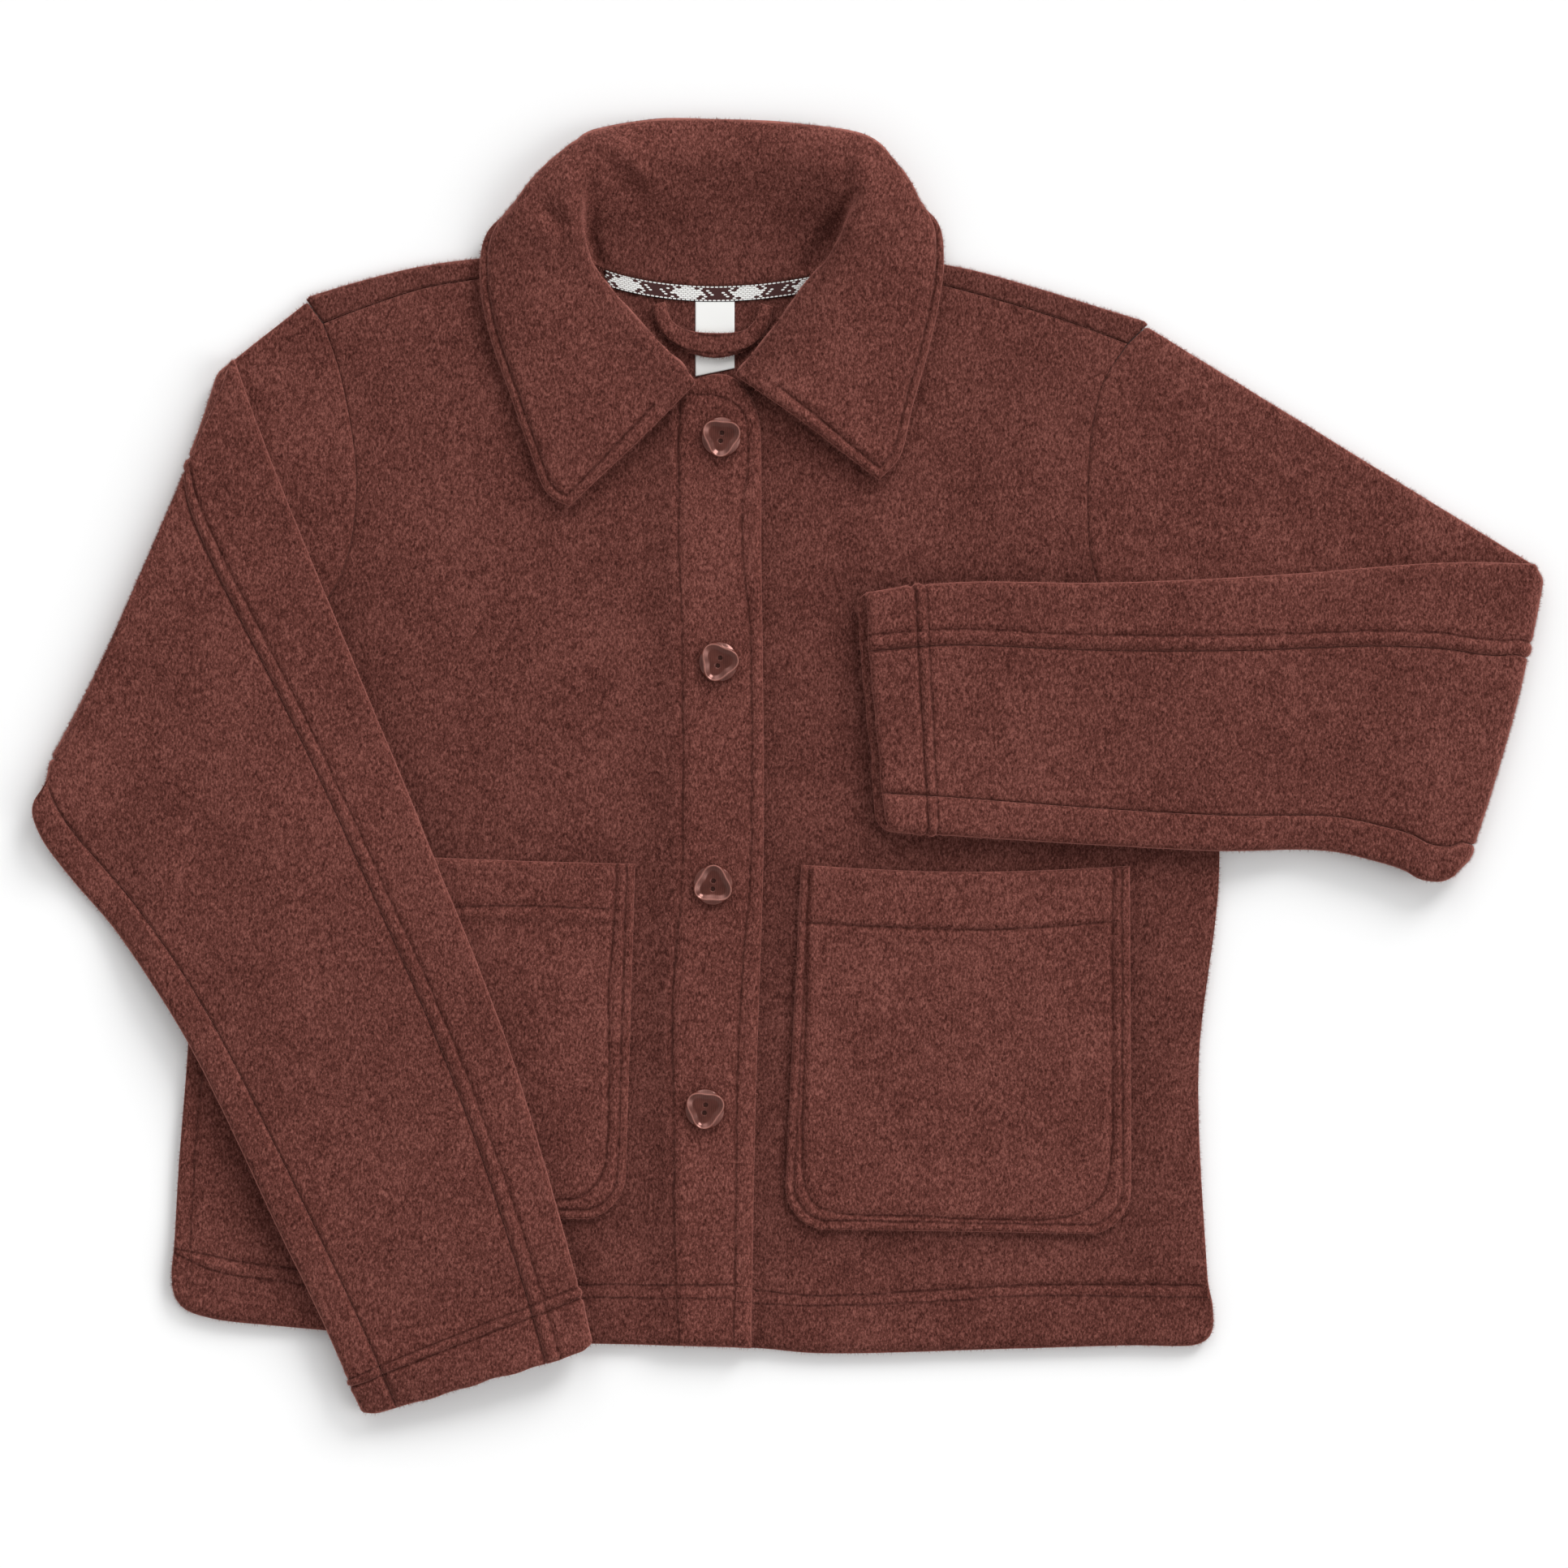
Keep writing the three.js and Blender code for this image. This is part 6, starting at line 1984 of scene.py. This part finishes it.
@dataclass(frozen=True)
class LabelCloth(Finish):
    """Plain off-white label satin with a fine weave."""

    name: str = "label_satin"
    colour: Colour = (0.92, 0.92, 0.90, 1)

    def surface(self, nodes: Nodes) -> bpy.types.Node:
        """The satin on the label's own UV: fine ribs across it.

        Args:
            nodes: Where its nodes are placed.

        Returns:
            The shader.
        """
        u, v = nodes.across("weave")
        weave = nodes.math("ADD", nodes.math("PINGPONG", v, 0.22), nodes.math("PINGPONG", u, 0.16))
        tone = nodes.span(weave, 0.0, 0.38, 0.86, 1.0)
        return nodes.add("ShaderNodeBsdfPrincipled", {
            "Base Color": nodes.mix(1.0, self.colour, tone, "MULTIPLY"), "Roughness": 0.55,
            "Normal": nodes.bump(weave, 0.4, 0.0002), "Specular IOR Level": 0.35})


@dataclass(frozen=True)
class HornResin(Finish):
    """Glossy red-brown resin with the wavy grain of horn."""

    name: str = "horn_resin"
    dark: Colour = (0.028, 0.0065, 0.0045, 1)
    light: Colour = (0.100, 0.0300, 0.0230, 1)
    painted_lip_highlight: Colour = (0.360, 0.1550, 0.1250, 1)
    glint: Colour = (1.0, 0.52, 0.45, 1)

    def surface(self, nodes: Nodes) -> bpy.types.Node:
        """The resin: wavy bands on the button's own UV, in millimetres, and a painted highlight on the
        lip of the dish.

        Args:
            nodes: Where its nodes are placed.

        Returns:
            The shader.
        """
        uv = nodes.add("ShaderNodeUVMap", uv_map="grain").outputs[0]
        bands = {"Vector": uv, "Scale": 0.3, "Distortion": 9.0, "Detail": 1.5, "Detail Scale": 0.3}
        wave = nodes.add("ShaderNodeTexWave", bands, wave_type="BANDS")
        cloud = nodes.noise(uv, 0.12, 2.0)
        grain = nodes.math("ADD", nodes.math("MULTIPLY", wave.outputs["Fac"], 0.4),
                           nodes.span(cloud, 0.3, 0.7, 0.1, 0.6), clamp=True)
        colour = nodes.mix(grain, self.dark, self.light)
        # The painted highlight pales the lip of the dish.
        lip = nodes.mix(nodes.math("MULTIPLY", nodes.value_of("painted_lip_highlight"), 0.75), colour, self.painted_lip_highlight)
        return nodes.add("ShaderNodeBsdfPrincipled", {
            "Base Color": lip, "Roughness": 0.17, "Specular IOR Level": 0.9, "Specular Tint": self.glint})


@dataclass(frozen=True)
class FloorPaper(Finish):
    """The studio's plain pale paper."""

    name: str = "floor_paper"
    colour: Colour = (0.92, 0.92, 0.92, 1)

    def surface(self, nodes: Nodes) -> bpy.types.Node:
        """A matt plain paper."""
        return nodes.add("ShaderNodeBsdfPrincipled", {
            "Base Color": self.colour, "Roughness": 0.9, "Specular IOR Level": 0.1})


def dress(obj: Piece, finish: Finish,
          nodes: Sequence[str]) -> list[Piece]:
    """Gives a piece of cloth its finish and its nap, and says what it rides on and replaces.

    Args:
        obj: The piece.
        finish: Its finish.
        nodes: The CAD nodes that it stands for.

    Returns:
        The piece, and the fibres of its nap where it is wool.
    """
    finish.apply(obj)
    naps = [EdgeNap().grow(obj)] if isinstance(finish, WoolFleece) else []
    for piece in (obj, *naps):
        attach(piece, "root")
    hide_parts(*nodes)
    return [obj, *naps]


@dataclass
class Studio:
    """A plain white surface, soft light from the collar's side, and a camera straight above.

    key and fill are the shares of light that reach the floor from the lamp and from all round. The light
    all round grows from zenith * fill overhead towards the horizon, and has two wide soft windows in it.
    """

    centre: tuple[float, float] = (-0.0033, -0.0073)
    frame_width: float = 0.85
    camera_height: float = 3.2
    sensor: float = 36.0
    floor_size: float = 6.0
    floor_gap: float = 2e-4
    key: float = 0.25
    fill: float = 0.54
    elevation: float = 26.0
    heading: float = 34.0
    softness: float = 24.0
    zenith: float = 0.55
    windows: tuple[tuple[tuple[float, float, float], float], ...] = (
        ((0.82, -0.16, 0.55), 3.6), ((-0.16, 0.84, 0.52), 3.0))
    window_spread: float = 0.05

    def floor(self) -> Piece:
        """The pale floor, as a flat grid just under the jacket.

        Returns:
            The floor's object.
        """
        half = self.floor_size / 2
        corners = ((-half, -half), (half, -half), (half, half), (-half, half))
        points = np.array([(x, y, -self.floor_gap) for x, y in corners])
        obj = mesh_object("floor", points, np.array([[0, 1, 2, 3]]))
        FloorPaper().apply(obj)
        return obj

    def light(self) -> None:
        """One soft low light from beyond the collar, towards the left sleeve: a wide disc far away."""
        up, turn = math.radians(self.elevation), math.radians(self.heading)
        lamp = bpy.data.lights.new("key", "SUN")
        lamp.angle = math.radians(self.softness)
        lamp.energy = self.key * math.pi / math.sin(up)
        obj = bpy.data.objects.new("key", lamp)
        aim = Vector((math.cos(up) * math.sin(turn), math.cos(up) * math.cos(turn), math.sin(up)))
        obj.rotation_euler = aim.to_track_quat("Z", "Y").to_euler()
        obj.location = aim * 3
        bpy.context.scene.collection.objects.link(obj)

    def camera(self) -> None:
        """The camera: straight down, with the photograph's frame."""
        lens = bpy.data.cameras.new("camera")
        lens.sensor_width = self.sensor
        lens.lens = self.sensor * self.camera_height / self.frame_width
        lens.clip_end = 50.0
        obj = bpy.data.objects.new("camera", lens)
        obj.location = (*self.centre, self.camera_height)
        bpy.context.scene.collection.objects.link(obj)
        bpy.context.scene.camera = obj

    def build(self) -> None:
        """Makes the floor, the lamp, the sky and the camera."""
        self.floor()
        self.light()
        self.sky()
        self.camera()

    def sky(self) -> None:
        """The light all round: brighter low down, with two wide soft windows."""
        world = bpy.data.worlds.new("studio")
        world.use_nodes = True
        nodes = Nodes(world.node_tree)
        way = nodes.add("ShaderNodeTexCoord").outputs["Generated"]
        parts = nodes.add("ShaderNodeSeparateXYZ", {0: way})
        low = nodes.math("SUBTRACT", 1.0, nodes.math("MAXIMUM", parts.outputs[2], 0.0))
        level = nodes.math("ADD", self.zenith * self.fill,
                           nodes.math("MULTIPLY", low, 3 * (1 - self.zenith) * self.fill))
        for aim, strength in self.windows:
            near = nodes.add("ShaderNodeVectorMath", {0: way, 1: Vector(aim).normalized()},
                             operation="DOT_PRODUCT").outputs["Value"]
            off = nodes.math("DIVIDE", nodes.math("SUBTRACT", near, 1.0), self.window_spread)
            glow = nodes.math("MULTIPLY", nodes.math("EXPONENT", off), strength)
            level = nodes.math("ADD", level, glow)
        background = nodes.add("ShaderNodeBackground", {0: (1, 1, 1, 1), 1: level})
        nodes.add("ShaderNodeOutputWorld", {0: background.outputs[0]})
        bpy.context.scene.world = world
        bpy.context.scene.view_settings.view_transform = "Standard"


def main() -> None:
    """Builds the jacket piece by piece, then the studio."""
    logging.basicConfig(level=logging.INFO, format="%(name)s: %(message)s")
    outline = Outline()
    body = Body(outline)
    wool, tape, label, horn = WoolFleece(), TapeWeave(), LabelCloth(), HornResin()
    steps: list[tuple[str, Callable[[], list[Piece]]]] = [
        ("back and fronts", lambda: body.build(wool)),
        ("pockets", lambda: Pockets(body).build(wool)),
        ("right sleeve", lambda: right_sleeve(body).build(wool)),
        ("left sleeve", lambda: left_sleeve(body).build(wool)),
        ("collar", lambda: Collar().build(wool)),
        ("neck trim", lambda: NeckTrim().build(wool, tape, label)),
        ("buttons", lambda: Buttons(body).build(horn)),
    ]
    total = 0
    for name, step in steps:
        for piece in step():
            piece.data.calc_loop_triangles()
            triangles = len(piece.data.loop_triangles)
            total += triangles
            log.info("%s: %s, %d triangles, %d so far", name, piece.name, triangles, total)
    Studio().build()


if __name__ == "__main__":
    main()
